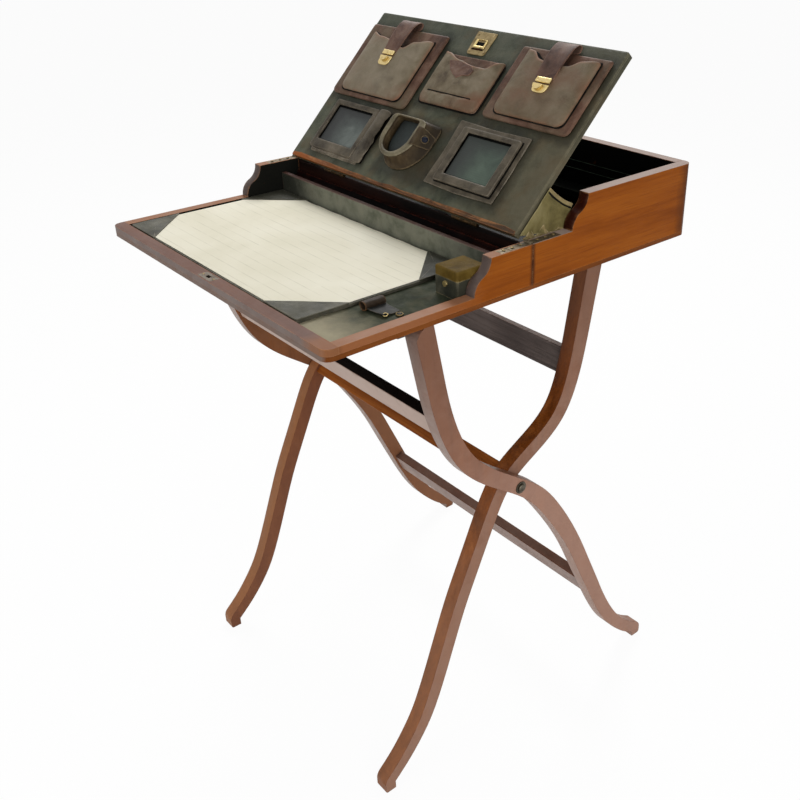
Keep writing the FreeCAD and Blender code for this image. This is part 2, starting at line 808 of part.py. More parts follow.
def inkwell():
    """Leather covered body with a glass bottle, a lid and a catch button at the front."""
    right = inner_side - s.inkwell_side_gap
    left = right - s.inkwell_width
    front = -s.inkwell_rear - s.inkwell_length
    middle_x = right - s.inkwell_width / 2
    middle_y = front + s.inkwell_length / 2

    def upright_edges(edge):
        return runs_along(edge, AXIS_Z)

    size = ("inkwell_width", "inkwell_length", "inkwell_body_height")
    blank = box("inkwell_blank", size, (left, front, lining_top))
    block = rounded("inkwell_block", blank, s.inkwell_edge, upright_edges)
    body_top = lining_top + s.inkwell_body_height
    well = cylinder(
        "inkwell_well",
        "bottle_radius",
        "bottle_height + overrun",
        (middle_x, middle_y, body_top - s.bottle_height),
        AXIS_Z,
    )
    button_z = lining_top + s.button_rise
    socket = cylinder(
        "inkwell_socket",
        "button_radius + running_fit",
        "button_length - button_proud + button_travel + loose_fit",
        (middle_x, front, button_z),
        AXIS_Y,
    )
    body = cut("inkwell_body", block, well, socket)
    bottle_start = (middle_x, middle_y, body_top - s.bottle_height)
    glass = cylinder("bottle_glass", "bottle_radius - loose_fit", "bottle_height", bottle_start, AXIS_Z)
    hollow_start = (middle_x, middle_y, body_top - s.bottle_height + s.bottle_wall)
    hollow_radius = "bottle_radius - loose_fit - bottle_wall"
    hollow = cylinder("bottle_hollow", hollow_radius, "bottle_height", hollow_start, AXIS_Z)
    lid_size = ("inkwell_width", "inkwell_length", "inkwell_lid_height")
    lid_box = box("inkwell_lid_blank", lid_size, (left, front, body_top))
    lid_blank = rounded("inkwell_lid_block", lid_box, s.inkwell_edge, upright_edges)
    lid_top = body_top + s.inkwell_lid_height

    def top_edges(edge):
        box_of_edge = edge.BoundBox
        return box_of_edge.ZMin > lid_top - s.running_fit

    lid = rounded("inkwell_lid", lid_blank, s.inkwell_edge, top_edges)
    button_start = (middle_x, front - s.button_proud, button_z)
    button = cylinder("inkwell_button", "button_radius", "button_length", button_start, AXIS_Y)
    return [body, cut("inkwell_bottle", glass, hollow), lid, button]


def lock_bed():
    """The mortise in the front rail for the lock plate and its box."""
    front = -s.half_depth + s.lock_inset
    plate = box(
        "lock_plate_bed",
        ("lock_plate_length", "lock_plate_width", "lock_plate_thickness + overrun"),
        (-s.lock_plate_length / 2, front, s.writing_height - s.lock_plate_thickness),
    )
    case = box(
        "lock_box_bed",
        ("lock_box_length", "lock_box_width", "lock_box_depth + overrun"),
        (
            -s.lock_box_length / 2,
            front + (s.lock_plate_width - s.lock_box_width) / 2,
            s.writing_height - s.lock_box_depth,
        ),
    )
    return [plate, case]


def lock():
    """Brass lock: face plate with a slot over a hollow box, and the bolt that slides in it."""
    front = -s.half_depth + s.lock_inset
    middle_y = front + s.lock_plate_width / 2
    plate = box(
        "lock_face",
        ("lock_plate_length", "lock_plate_width", "lock_plate_thickness"),
        (-s.lock_plate_length / 2, front, s.writing_height - s.lock_plate_thickness),
    )
    bottom = s.writing_height - s.lock_box_depth
    case = box(
        "lock_case",
        ("lock_box_length", "lock_box_width", "lock_box_depth"),
        (-s.lock_box_length / 2, middle_y - s.lock_box_width / 2, bottom),
    )
    room_length = "lock_box_length - 2 * lock_wall"
    room_width = "lock_box_width - 2 * lock_wall"
    room = box(
        "lock_room",
        (room_length, room_width, "lock_box_depth - lock_plate_thickness - lock_wall - loose_fit"),
        (-number(room_length) / 2, middle_y - number(room_width) / 2, bottom + s.lock_wall),
    )
    room_top = s.writing_height - s.lock_plate_thickness - s.loose_fit
    slot = box(
        "lock_slot",
        ("lock_slot_length", "lock_slot_width", "lock_plate_thickness + loose_fit + overrun"),
        (-s.lock_slot_length / 2, middle_y - s.lock_slot_width / 2, room_top),
    )
    bolt = box(
        "lock_bolt",
        ("bolt_length", room_width + " - 2 * loose_fit", "bolt_thickness"),
        (
            -s.lock_slot_length / 2 - s.bolt_length,
            middle_y - number(room_width) / 2 + s.loose_fit,
            room_top - s.loose_fit - s.bolt_thickness,
        ),
    )
    return [cut("lock", fuse("lock_whole", plate, case), room, slot), bolt]


def make_panel():
    nodes = []
    nodes.append(box(
        "panel_board",
        ("panel_width", "panel_length", "panel_board_thickness"),
        (-s.panel_width / 2, 0, panel_hinge_offset),
        panel_frame,
    ))
    nodes.append(box(
        "panel_cover",
        ("panel_width", "panel_length", "panel_cover_thickness"),
        (-s.panel_width / 2, 0, panel_hinge_offset + s.panel_board_thickness),
        panel_frame,
    ))
    face = panel_frame.multiply(at(0, 0, panel_front))
    clasp_plates = []
    thumbs = []
    for name, _ in SIDES:
        nodes.extend(wallet(name, face))
        plate, thumb = clasp(name, face)
        clasp_plates.append(plate)
        thumbs.append(thumb)
    nodes.append(group("wallet_clasp_plates", *clasp_plates))
    nodes.extend(thumbs)
    nodes.append(centre_pocket(face))
    nodes.extend(photo_frames(face))
    nodes.append(watch_holder(face))
    plate_loop = rectangle("finger_plate_width", "finger_plate_length", "0", "finger_plate_foot")
    hole_foot = "finger_plate_foot + finger_plate_length / 2 - finger_hole / 2"
    hole_loop = rectangle("finger_hole", "finger_hole", "0", hole_foot)
    nodes.append(outline_body("finger_plate", [plate_loop, hole_loop], "finger_plate_thickness", face))
    nodes.append(panel_hinge_panel_leaves())
    nodes.extend(prop())
    return nodes


def wallet(name, face):
    """Leather back with an open pocket, and the strap that closes over its mouth."""
    part = "wallet_%s_" % name
    left = number("%smiddle - %swidth / 2" % (part, part))
    foot = number(part + "foot")
    back = box(part + "back", (part + "width", part + "length", "leather"), (left, foot, 0), face)
    pocket_width = part + "width - 2 * wallet_side_border"
    pocket_length = part + "length - wallet_foot_border - wallet_mouth_border"
    pocket = box(
        part + "shell",
        (pocket_width, pocket_length, "2 * leather + pocket_room"),
        (left + s.wallet_side_border, foot + s.wallet_foot_border, 0),
        face,
    )
    room = box(
        part + "room",
        (pocket_width + " - 2 * leather", pocket_length + " - leather + overrun", "pocket_room"),
        (left + s.wallet_side_border + s.leather, foot + s.wallet_foot_border + s.leather, s.leather),
        face,
    )
    whole = cut("wallet_" + name, fuse(part + "whole", back, pocket), room)
    # Strap profile: local X climbs the panel and local Y stands off it
    top = "(%sfoot + %slength + soft_gap)" % (part, part)
    over = "(2 * leather + pocket_room)"
    end = "(%sfoot + %slength - strap_reach)" % (part, part)
    loop = [
        (end, over),
        (top, over),
        (top, "0"),
        (top + " + strap_top", "0"),
        (top + " + strap_top", "leather"),
        (top + " + leather", "leather"),
        (top + " + leather", over + " + leather"),
        (end, over + " + leather"),
    ]
    middle = number(part + "middle")
    frame = face.multiply(at(middle - s.strap_width / 2, 0, 0, PROFILE_BACKWARD_UP))
    strap = outline_body(part + "strap", [loop], "strap_width", frame)
    return [whole, strap]


def clasp(name, face):
    """Brass plate on the strap's end and the half round thumb piece that slides on it."""
    part = "wallet_%s_" % name
    middle = number(part + "middle")
    end = number(part + "foot") + number(part + "length") - s.strap_reach
    over = 3 * s.leather + s.pocket_room
    plate = box(
        part + "clasp_plate",
        ("clasp_width", "clasp_length", "clasp_plate"),
        (middle - s.clasp_width / 2, end, over),
        face,
    )
    loop = [
        ("0 - thumb_radius", "0", "0 - thumb_radius"),
        ("0", "0 - thumb_radius", "0 - thumb_radius"),
        ("thumb_radius", "0"),
    ]
    rest = end + s.thumb_radius + s.thumb_travel / 2
    frame = face.multiply(at(middle, rest, over + s.clasp_plate + s.thumb_gap))
    half_round = outline_body("clasp_%s_thumb" % name, [loop], "thumb_thickness", frame)
    return plate, half_round


def centre_pocket(face):
    """Open pocket with a notch cut in the mouth of its front."""
    left = s.centre_middle - s.centre_width / 2
    shell = box(
        "centre_pocket_shell",
        ("centre_width", "centre_length", "2 * leather + pocket_room"),
        (left, s.centre_foot, 0),
        face,
    )
    room = box(
        "centre_pocket_room",
        ("centre_width - 2 * leather", "centre_length - leather + overrun", "pocket_room"),
        (left + s.leather, s.centre_foot + s.leather, s.leather),
        face,
    )
    mouth = "(centre_foot + centre_length + overrun)"
    loop = [
        ("centre_middle - notch_half_width", mouth),
        ("centre_middle", "centre_foot + centre_length - notch_depth"),
        ("centre_middle + notch_half_width", mouth),
    ]
    notch = outline_body(
        "centre_pocket_notch",
        [loop],
        "leather + overrun",
        face.multiply(at(0, 0, s.leather + s.pocket_room)),
    )
    return cut("centre_pocket", shell, room, notch)


def photo_frames(face):
    """Left frame straight on the panel, right frame on a larger leather back, each with an insert."""
    outer = rectangle("photo_left_width", "photo_left_length", "photo_left_middle", "photo_left_foot")
    window_middle = ("photo_left_middle - photo_left_width / 2 + photo_left_window_side"
                     " + photo_left_window_width / 2")
    window_foot = "photo_left_foot + photo_left_window_foot"
    window = rectangle("photo_left_window_width", "photo_left_window_length", window_middle, window_foot)
    left = outline_body("photo_frame_left", [outer, window], "photo_frame_thickness", face)
    left_insert = box(
        "photo_insert_left",
        ("photo_left_window_width", "photo_left_window_length", "insert_thickness"),
        (number(window_middle) - s.photo_left_window_width / 2, number(window_foot), 0),
        face,
    )
    back = outline_body(
        "photo_right_back",
        [rectangle("photo_right_width", "photo_right_length", "photo_right_middle", "photo_right_foot")],
        "leather",
        face,
    )
    frame_foot = "photo_right_foot + photo_right_length / 2 - photo_right_frame_length / 2"
    window_foot = "photo_right_foot + photo_right_length / 2 - photo_right_window_length / 2"
    middle = "photo_right_middle"
    frame = outline_body(
        "photo_right_border",
        [
            rectangle("photo_right_frame_width", "photo_right_frame_length", middle, frame_foot),
            rectangle("photo_right_window_width", "photo_right_window_length", middle, window_foot),
        ],
        "photo_right_frame_thickness",
        face.multiply(at(0, 0, s.leather)),
    )
    right = fuse("photo_frame_right", back, frame)
    right_insert = box(
        "photo_insert_right",
        ("photo_right_window_width", "photo_right_window_length", "insert_thickness"),
        (s.photo_right_middle - s.photo_right_window_width / 2, number(window_foot), s.leather),
        face,
    )
    return [left, right, group("photo_inserts", left_insert, right_insert)]


def horseshoe(radius, foot, head):
    """A loop with a flat head and a half round foot drawn as two arcs."""
    middle_y = "(%s + %s)" % (foot, radius)
    return [
        ("watch_middle - " + radius, head),
        ("watch_middle - " + radius, middle_y, "0 - " + radius),
        ("watch_middle", foot, "0 - " + radius),
        ("watch_middle + " + radius, middle_y),
        ("watch_middle + " + radius, head),
    ]


def watch_holder(face):
    """A thin leather base with a raised horseshoe that holds a pocket watch."""
    base = box(
        "watch_base",
        ("watch_base_width", "watch_base_length", "leather"),
        (s.watch_middle - s.watch_base_width / 2, s.watch_base_foot, 0),
        face,
    )
    head = "(watch_foot + watch_length)"
    opening_foot = "(watch_foot + watch_radius - watch_opening_radius)"
    ring = outline_body(
        "watch_ring",
        [horseshoe("watch_radius", "watch_foot", head),
         horseshoe("watch_opening_radius", opening_foot, head + " - watch_opening_head")],
        "watch_thickness",
        face.multiply(at(0, 0, s.leather)),
    )
    return fuse("watch_holder", base, ring)


def panel_hinge_panel_leaves():
    leaves = []
    for name, side in SIDES:
        label = "panel_leaf_" + name
        middle = side * s.panel_hinge_side
        leaf_start = middle - s.panel_leaf_width / 2 + s.loose_fit / 2
        leaf_under = panel_hinge_offset - s.panel_leaf_thickness
        knuckles = []
        for i, (low_share, high_share) in enumerate(((0, 1 / 3), (2 / 3, 1))):
            tube = "%s_knuckle_%d" % (label, i)
            knuckles.append(panel_knuckle(tube, middle, low_share, high_share, "panel_barrel_radius"))
            start = leaf_start + s.panel_leaf_width * low_share
            knuckles.append(box(
                "%s_arm_%d" % (label, i),
                ("panel_leaf_width / 3 - loose_fit", "panel_leaf_length", "panel_leaf_thickness"),
                (start, 0, leaf_under),
                panel_frame,
            ))
        bridge = box(
            label + "_bridge",
            ("panel_leaf_width - loose_fit", "panel_leaf_length / 2", "panel_leaf_thickness"),
            (leaf_start, s.panel_leaf_length / 2, leaf_under),
            panel_frame,
        )
        bore = panel_knuckle(label + "_bore", middle, 0, 1, "panel_pin_radius + running_fit")
        leaves.append(cut(label, fuse(label + "_whole", bridge, *knuckles), bore))
    return group("panel_hinge_panel_leaves", *leaves)


def prop_place():
    """The prop's pin and the height of its round foot, both at rest."""
    pin = panel_frame.multVec(Vector(0, s.prop_place, panel_hinge_offset - s.prop_pin_drop))
    foot_z = floor_top + s.soft_gap + s.prop_thickness / 2
    drop = pin.z - foot_z
    reach = math.sqrt(s.prop_length ** 2 - drop ** 2)
    return pin, math.degrees(math.atan2(-drop, reach))


def prop():
    """Two lugs with a pin on the panel's back, and the strut that stands on the case floor."""
    pin, angle = prop_place()
    pin_z = panel_hinge_offset - s.prop_pin_drop
    lugs = []
    for name, side in SIDES:
        inner = s.prop_width / 2 + s.soft_gap
        left = inner if side > 0 else -inner - s.prop_lug
        lug = box(
            "prop_lug_" + name,
            ("prop_lug", "prop_thickness", "prop_pin_drop + prop_thickness / 2"),
            (left, s.prop_place - s.prop_thickness / 2, pin_z - s.prop_thickness / 2),
            panel_frame,
        )
        lugs.append(lug)
    rod = cylinder(
        "prop_rod",
        "prop_pin_radius",
        "prop_width + 2 * soft_gap + 2 * prop_lug",
        (-s.prop_width / 2 - s.soft_gap - s.prop_lug, s.prop_place, pin_z),
        AXIS_X,
        panel_frame,
    )
    bracket = fuse("prop_bracket", *lugs, rod)
    strut_frame = Placement(Vector(0, pin.y, pin.z), Rotation(AXIS_X, angle))
    half = "prop_thickness / 2"
    loop = [
        ("0", half, half),
        ("0 - " + half, "0", half),
        ("0", "0 - " + half),
        ("prop_length", "0 - " + half, half),
        ("prop_length + " + half, "0", half),
        ("prop_length", half),
    ]
    loop = [(x, y, "0 - (%s)" % rest[0]) if rest else (x, y) for x, y, *rest in loop]
    frame = strut_frame.multiply(at(-s.prop_width / 2, 0, 0, PROFILE_BACKWARD_UP))
    blank = outline_body("panel_prop_blank", [loop], "prop_width", frame)
    bore = cylinder(
        "panel_prop_bore",
        "prop_pin_radius + running_fit",
        "prop_width + 2 * overrun",
        (-s.prop_width / 2 - s.overrun, 0, 0),
        AXIS_X,
        strut_frame,
    )
    return [bracket, cut("panel_prop", blank, bore)]


# Stand: the outer legs run from the front of the flap to the rear feet, the inner legs the other way
pivot = Vector(0, -s.pivot_front, s.pivot_height)
leg_rise = s.underside_height - s.leg_pin_drop - s.pivot_height
outer_side = half_width - s.leg_inset - s.leg_thickness
inner_leg_side = outer_side - s.leg_gap - s.leg_thickness
OUTER = SimpleNamespace(
    name="outer",
    lean=-1,
    inner_face=outer_side,
    foot_run=s.outer_foot_run,
    upper_shares=OUTER_UPPER_SHARES,
    lower_shares=OUTER_LOWER_SHARES,
)
INNER = SimpleNamespace(
    name="inner",
    lean=1,
    inner_face=inner_leg_side,
    foot_run=s.inner_foot_run,
    upper_shares=INNER_UPPER_SHARES,
    lower_shares=INNER_LOWER_SHARES,
)


def leg_curve(kind):
    """The leg's centre line from past its top to past its foot, and its points with the width at each."""
    points = []
    for run_share, rise_share, width_share in reversed(kind.upper_shares):
        place = pivot + Vector(0, kind.lean * s.leg_run * run_share, leg_rise * rise_share)
        points.append((place, s.leg_width * width_share))
    points.append((pivot, s.leg_width))
    for run_share, drop_share, width_share in kind.lower_shares:
        place = pivot - Vector(0, kind.lean * kind.foot_run * run_share, s.pivot_height * drop_share)
        points.append((place, s.leg_width * width_share))
    (head, head_width), (after, _) = points[:2]
    (before, _), (foot, foot_width) = points[-2:]
    points.insert(0, (head + (head - after).normalize() * s.leg_width, head_width))
    points.append((foot + (foot - before).normalize() * 2 * s.leg_width, foot_width))
    curve = Part.BSplineCurve()
    curve.interpolate([point for point, _ in points])
    return curve, points


def leg_edge(curve, points, direction):
    """A smooth edge half the leg's width to one side of the centre line."""
    moved = []
    for point, width in points:
        tangent = curve.tangent(curve.parameter(point))[0]
        moved.append(point + Vector(0, -tangent.z, tangent.y) * direction * width / 2)
    edge = Part.BSplineCurve()
    edge.interpolate(moved)
    return edge


def leg_place(kind, share, upper):
    """A point on the centre line at a share of its rise or drop, and the slope there in degrees."""
    curve, _ = leg_curve(kind)
    height = s.pivot_height + leg_rise * share if upper else s.pivot_height * (1 - share)
    low, high = curve.FirstParameter, curve.LastParameter
    for _ in range(60):
        middle = (low + high) / 2
        if curve.value(middle).z > height:
            low = middle
        else:
            high = middle
    tangent = curve.tangent(low)[0]
    return curve.value(low), math.degrees(math.atan2(-tangent.z, -tangent.y))


def leg_tools(kind, top_pin):
    """What is cut from a leg: above its top, outside its round, under the floor, beyond the toe."""
    wide = s.desk_width
    deep = s.half_depth
    top = top_pin.z + s.leg_pin_drop - s.leg_top_gap
    toe = pivot.y - kind.lean * kind.foot_run
    above = Part.makeBox(2 * wide, 2 * deep, deep, Vector(-wide, top_pin.y - deep, top))
    under = Part.makeBox(2 * wide, 4 * deep, deep, Vector(-wide, -2 * deep, -deep))
    beyond = Part.makeBox(2 * wide, deep, deep, Vector(-wide, toe if kind.lean < 0 else toe - deep, 0))
    # The round lets the leg turn under the desk's bottom as the stand folds
    round_middle = Vector(-wide, top_pin.y - kind.lean * s.leg_top_round_shift, top - s.leg_top_round)
    corner = Part.makeBox(2 * wide, deep, deep, round_middle - Vector(0, deep if kind.lean < 0 else 0, 0))
    head = corner.cut(Part.makeCylinder(s.leg_top_round, 2 * wide, round_middle, AXIS_X))
    return [above, under, beyond, head]


def leg_bore(middle, radius):
    """A running hole through both sides of the stand."""
    start = middle - AXIS_X * s.desk_width
    return Part.makeCylinder(radius + s.running_fit, 2 * s.desk_width, start, AXIS_X)


def leg(kind, name, side):
    curve, points = leg_curve(kind)
    front = leg_edge(curve, points, 1)
    rear = leg_edge(curve, points, -1)
    head = Part.LineSegment(front.StartPoint, rear.StartPoint)
    foot = Part.LineSegment(front.EndPoint, rear.EndPoint)
    edges = [line.toShape() for line in (front, head, rear, foot)]
    wire = Part.Wire(Part.__sortEdges__(edges))
    solid = Part.Face(wire).extrude(Vector(s.leg_thickness, 0, 0))
    low_x = kind.inner_face if side > 0 else -kind.inner_face - s.leg_thickness
    solid.translate(Vector(low_x, 0, 0))
    top_pin = pivot + Vector(0, kind.lean * s.leg_run, leg_rise)
    solid = solid.cut(leg_tools(kind, top_pin))
    # The leg stands on a small sole under its rounded toe
    toe = pivot.y - kind.lean * kind.foot_run
    heel = toe + kind.lean * s.sole_length
    sole = Part.makeBox(s.leg_thickness, s.sole_length, s.sole_height, Vector(low_x, min(toe, heel), 0))
    solid = solid.fuse(sole).removeSplitter()
    for radius, low in ((s.toe_round, False), (s.sole_round, True)):
        toe_edges = []
        for edge in solid.Edges:
            middle = edge.CenterOfMass
            at_toe = runs_along(edge, AXIS_X) and abs(middle.y - toe) < s.running_fit
            if at_toe and (middle.z < s.running_fit) == low:
                toe_edges.append(edge)
        solid = solid.makeFillet(radius, toe_edges)
    solid = solid.cut(leg_bore(pivot, s.bolt_radius))
    if kind.lean > 0:
        solid = solid.cut(leg_bore(top_pin, s.leg_pin_radius))
    else:
        inward = AXIS_X * -side
        peg = Part.makeCylinder(s.peg_radius, s.peg_length + s.leg_thickness / 2,
                                top_pin + AXIS_X * side * (kind.inner_face + s.leg_thickness / 2), inward)
        solid = solid.fuse(peg).removeSplitter()
    return feature("%s_leg_%s" % (kind.name, name), solid)


def stretcher(label, kind, place, width):
    """A flat board between two legs, its breadth along the leg."""
    point, slope = place
    loop = rectangle(width, "stretcher_thickness", "0", "0 - stretcher_thickness / 2")
    start = Vector(-kind.inner_face, point.y, point.z)
    frame = Placement(start, Rotation(AXIS_X, slope) * PROFILE_BACKWARD_UP)
    length = "desk_width - 2 * (leg_inset + leg_thickness)"
    if kind.lean > 0:
        length += " - 2 * (leg_gap + leg_thickness)"
    return outline_body(label, [loop], length, frame)


def leg_stop(name, side):
    """Block under the flap that the outer leg's peg bears against."""
    top_pin = pivot + Vector(0, OUTER.lean * s.leg_run, leg_rise)
    rear = top_pin.y - s.peg_radius - s.soft_gap
    near = outer_side - s.soft_gap - s.stop_width
    left = near if side > 0 else -near - s.stop_width
    return box(
        "leg_stop_" + name,
        ("stop_width", "stop_length", "stop_height"),
        (left, rear - s.stop_length, s.underside_height - s.stop_height),
    )


def leg_hinges():
    """Cleats under the case with the pins that the inner legs turn on."""
    cleats = []
    pins = []
    top_pin = pivot + Vector(0, INNER.lean * s.leg_run, leg_rise)
    for name, side in SIDES:
        near = inner_leg_side - s.soft_gap - s.cleat_width
        left = near if side > 0 else -near - s.cleat_width
        block = box(
            "cleat_block_" + name,
            ("cleat_width", "cleat_length", "cleat_height"),
            (left, top_pin.y - s.cleat_length / 2, s.underside_height - s.cleat_height),
        )
        bore = cylinder(
            "cleat_bore_" + name,
            "leg_pin_radius",
            "cleat_width",
            (left, top_pin.y, top_pin.z),
            AXIS_X,
        )
        cleats.append(cut("cleat_" + name, block, bore))
        pins.append(cylinder(
            "leg_pin_" + name,
            "leg_pin_radius",
            "cleat_width + soft_gap + leg_thickness",
            (left if side > 0 else left - s.soft_gap - s.leg_thickness, top_pin.y, top_pin.z),
            AXIS_X,
        ))
    return [group("leg_cleats", *cleats), group("leg_hinge_pins", *pins)]


def pivot_bolts():
    """Bolts through both legs at the crossing, each with a washer outside and one between the legs."""
    solids = []
    for name, side in SIDES:
        outward = AXIS_X * side
        start = pivot + outward * inner_leg_side
        outer_face = outer_side + s.leg_thickness + s.washer_play
        reach = outer_face + s.washer_thickness - inner_leg_side
        shank = Part.makeCylinder(s.bolt_radius, reach + s.bolt_head_height / 2, start, outward)
        seat = outer_face + s.washer_thickness
        head = Part.makeCylinder(s.bolt_head_radius, s.bolt_head_height, pivot + outward * seat, outward)
        rim = []
        for edge in head.Edges:
            outermost = abs(edge.CenterOfMass.x) > seat + s.bolt_head_height / 2
            if outermost and len(edge.Vertexes) == 1:
                rim.append(edge)
        head = head.makeFillet(s.bolt_head_height / 2, rim)
        bolt = shank.fuse(head).removeSplitter()
        spacing = inner_leg_side + s.leg_thickness
        washers = []
        for low, thick in ((outer_face, s.washer_thickness), (spacing, s.leg_gap - s.washer_play)):
            disc = Part.makeCylinder(s.washer_radius, thick, pivot + outward * low, outward)
            hole = Part.makeCylinder(s.bolt_radius + s.running_fit, thick, pivot + outward * low, outward)
            washers.append(disc.cut(hole))
        solids.extend([bolt] + washers)
    return feature("pivot_bolts", Part.makeCompound(solids))


def make_stand():
    nodes = leg_hinges()
    for kind in (OUTER, INNER):
        nodes.extend(leg(kind, name, side) for name, side in SIDES)
    boards = (
        ("outer_upper_stretcher", OUTER, OUTER_UPPER_STRETCHER_SHARE, True),
        ("outer_lower_stretcher", OUTER, OUTER_LOWER_STRETCHER_SHARE, False),
        ("inner_upper_stretcher", INNER, INNER_UPPER_STRETCHER_SHARE, True),
        ("inner_middle_stretcher", INNER, 0.0, True),
    )
    for label, kind, share, upper in boards:
        nodes.append(stretcher(label, kind, leg_place(kind, share, upper), label))
    nodes.append(pivot_bolts())
    return nodes


def write(nodes):
    """Checks every object of the document, then writes one file per node."""
    doc.recompute()
    for item in doc.Objects:
        if "Invalid" in item.State or "Error" in item.State:
            raise RuntimeError("%s did not build: %s" % (item.Label, item.State))
    os.makedirs("parts", exist_ok=True)
    for node in nodes:
        shape = node.Shape
        if shape.isNull() or not shape.isValid() or not shape.Solids:
            raise RuntimeError("%s has no sound shape" % node.Label)
        shape.exportStep("parts/%s.step" % node.Label)
    print("%d nodes written" % len(nodes))


write(make_case() + make_flap() + make_panel() + make_stand())
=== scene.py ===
from math import cos, exp, pi, radians, sin, sqrt

import bmesh
import bpy
from mathutils import Matrix, Vector, noise


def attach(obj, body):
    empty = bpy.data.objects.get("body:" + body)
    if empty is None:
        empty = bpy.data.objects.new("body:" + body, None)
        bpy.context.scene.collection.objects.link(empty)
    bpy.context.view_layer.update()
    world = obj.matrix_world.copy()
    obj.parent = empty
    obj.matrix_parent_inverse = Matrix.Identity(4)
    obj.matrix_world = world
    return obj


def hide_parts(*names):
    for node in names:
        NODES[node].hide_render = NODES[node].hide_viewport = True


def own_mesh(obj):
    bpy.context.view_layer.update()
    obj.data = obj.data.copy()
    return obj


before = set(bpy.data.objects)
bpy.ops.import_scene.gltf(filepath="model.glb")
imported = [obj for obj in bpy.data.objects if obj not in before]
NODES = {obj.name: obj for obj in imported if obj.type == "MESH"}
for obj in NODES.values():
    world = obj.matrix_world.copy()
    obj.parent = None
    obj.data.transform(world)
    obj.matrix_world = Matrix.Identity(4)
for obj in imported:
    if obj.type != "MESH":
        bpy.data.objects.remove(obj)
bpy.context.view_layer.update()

HALF = sqrt(0.5)
MM = 0.001

# The panel's hinge line and, measured out of the panel from that line, its leather face, in millimetres
HINGE_Y = -3.0
HINGE_Z = 803.5
FACE = 14.2


# Node trees

FINISHES = {}
WHITE = (1.0, 1.0, 1.0, 1.0)
# Painted shade: the near-black that darkens the panel's leather around what is sewn on
SEWN_ON_SHADE = (15, 17, 12)


def rgb(red, green, blue):
    """A colour written as a screen shows it, 0 to 255, in the linear values that a shader takes."""
    def linear(part):
        part = part / 255
        return part / 12.92 if part <= 0.04045 else ((part + 0.055) / 1.055) ** 2.4
    return (linear(red), linear(green), linear(blue), 1.0)


class Nodes:
    """Adds nodes to a tree. Inputs are links or values, and three part colours are screen colours."""

    def __init__(self, tree):
        self.tree = tree
        tree.nodes.clear()

    def feed(self, socket, value):
        if isinstance(value, bpy.types.NodeSocket):
            self.tree.links.new(value, socket)
        elif value is not None:
            on_screen = socket.type == "RGBA" and len(value) == 3
            socket.default_value = rgb(*value) if on_screen else value

    def add(self, kind, inputs=(), **settings):
        made = self.tree.nodes.new("ShaderNode" + kind)
        for name, value in settings.items():
            setattr(made, name, value)
        for key, value in dict(inputs).items():
            self.feed(made.inputs[key], value)
        return made

    def math(self, operation, first, second=None):
        return self.add("Math", {0: first, 1: second}, operation=operation).outputs[0]

    def times(self, first, second):
        return self.math("MULTIPLY", first, second)

    def seen(self):
        """One where the camera sees it, straight or by way of a reflection or glass."""
        path = self.add("LightPath").outputs
        shown = self.math("MAXIMUM", path["Is Camera Ray"], path["Is Glossy Ray"])
        return self.math("MAXIMUM", shown, path["Is Transmission Ray"])

    def blend(self, amount, first, second):
        return self.add("MixShader", {0: amount, 1: first.outputs[0], 2: second.outputs[0]}).outputs[0]


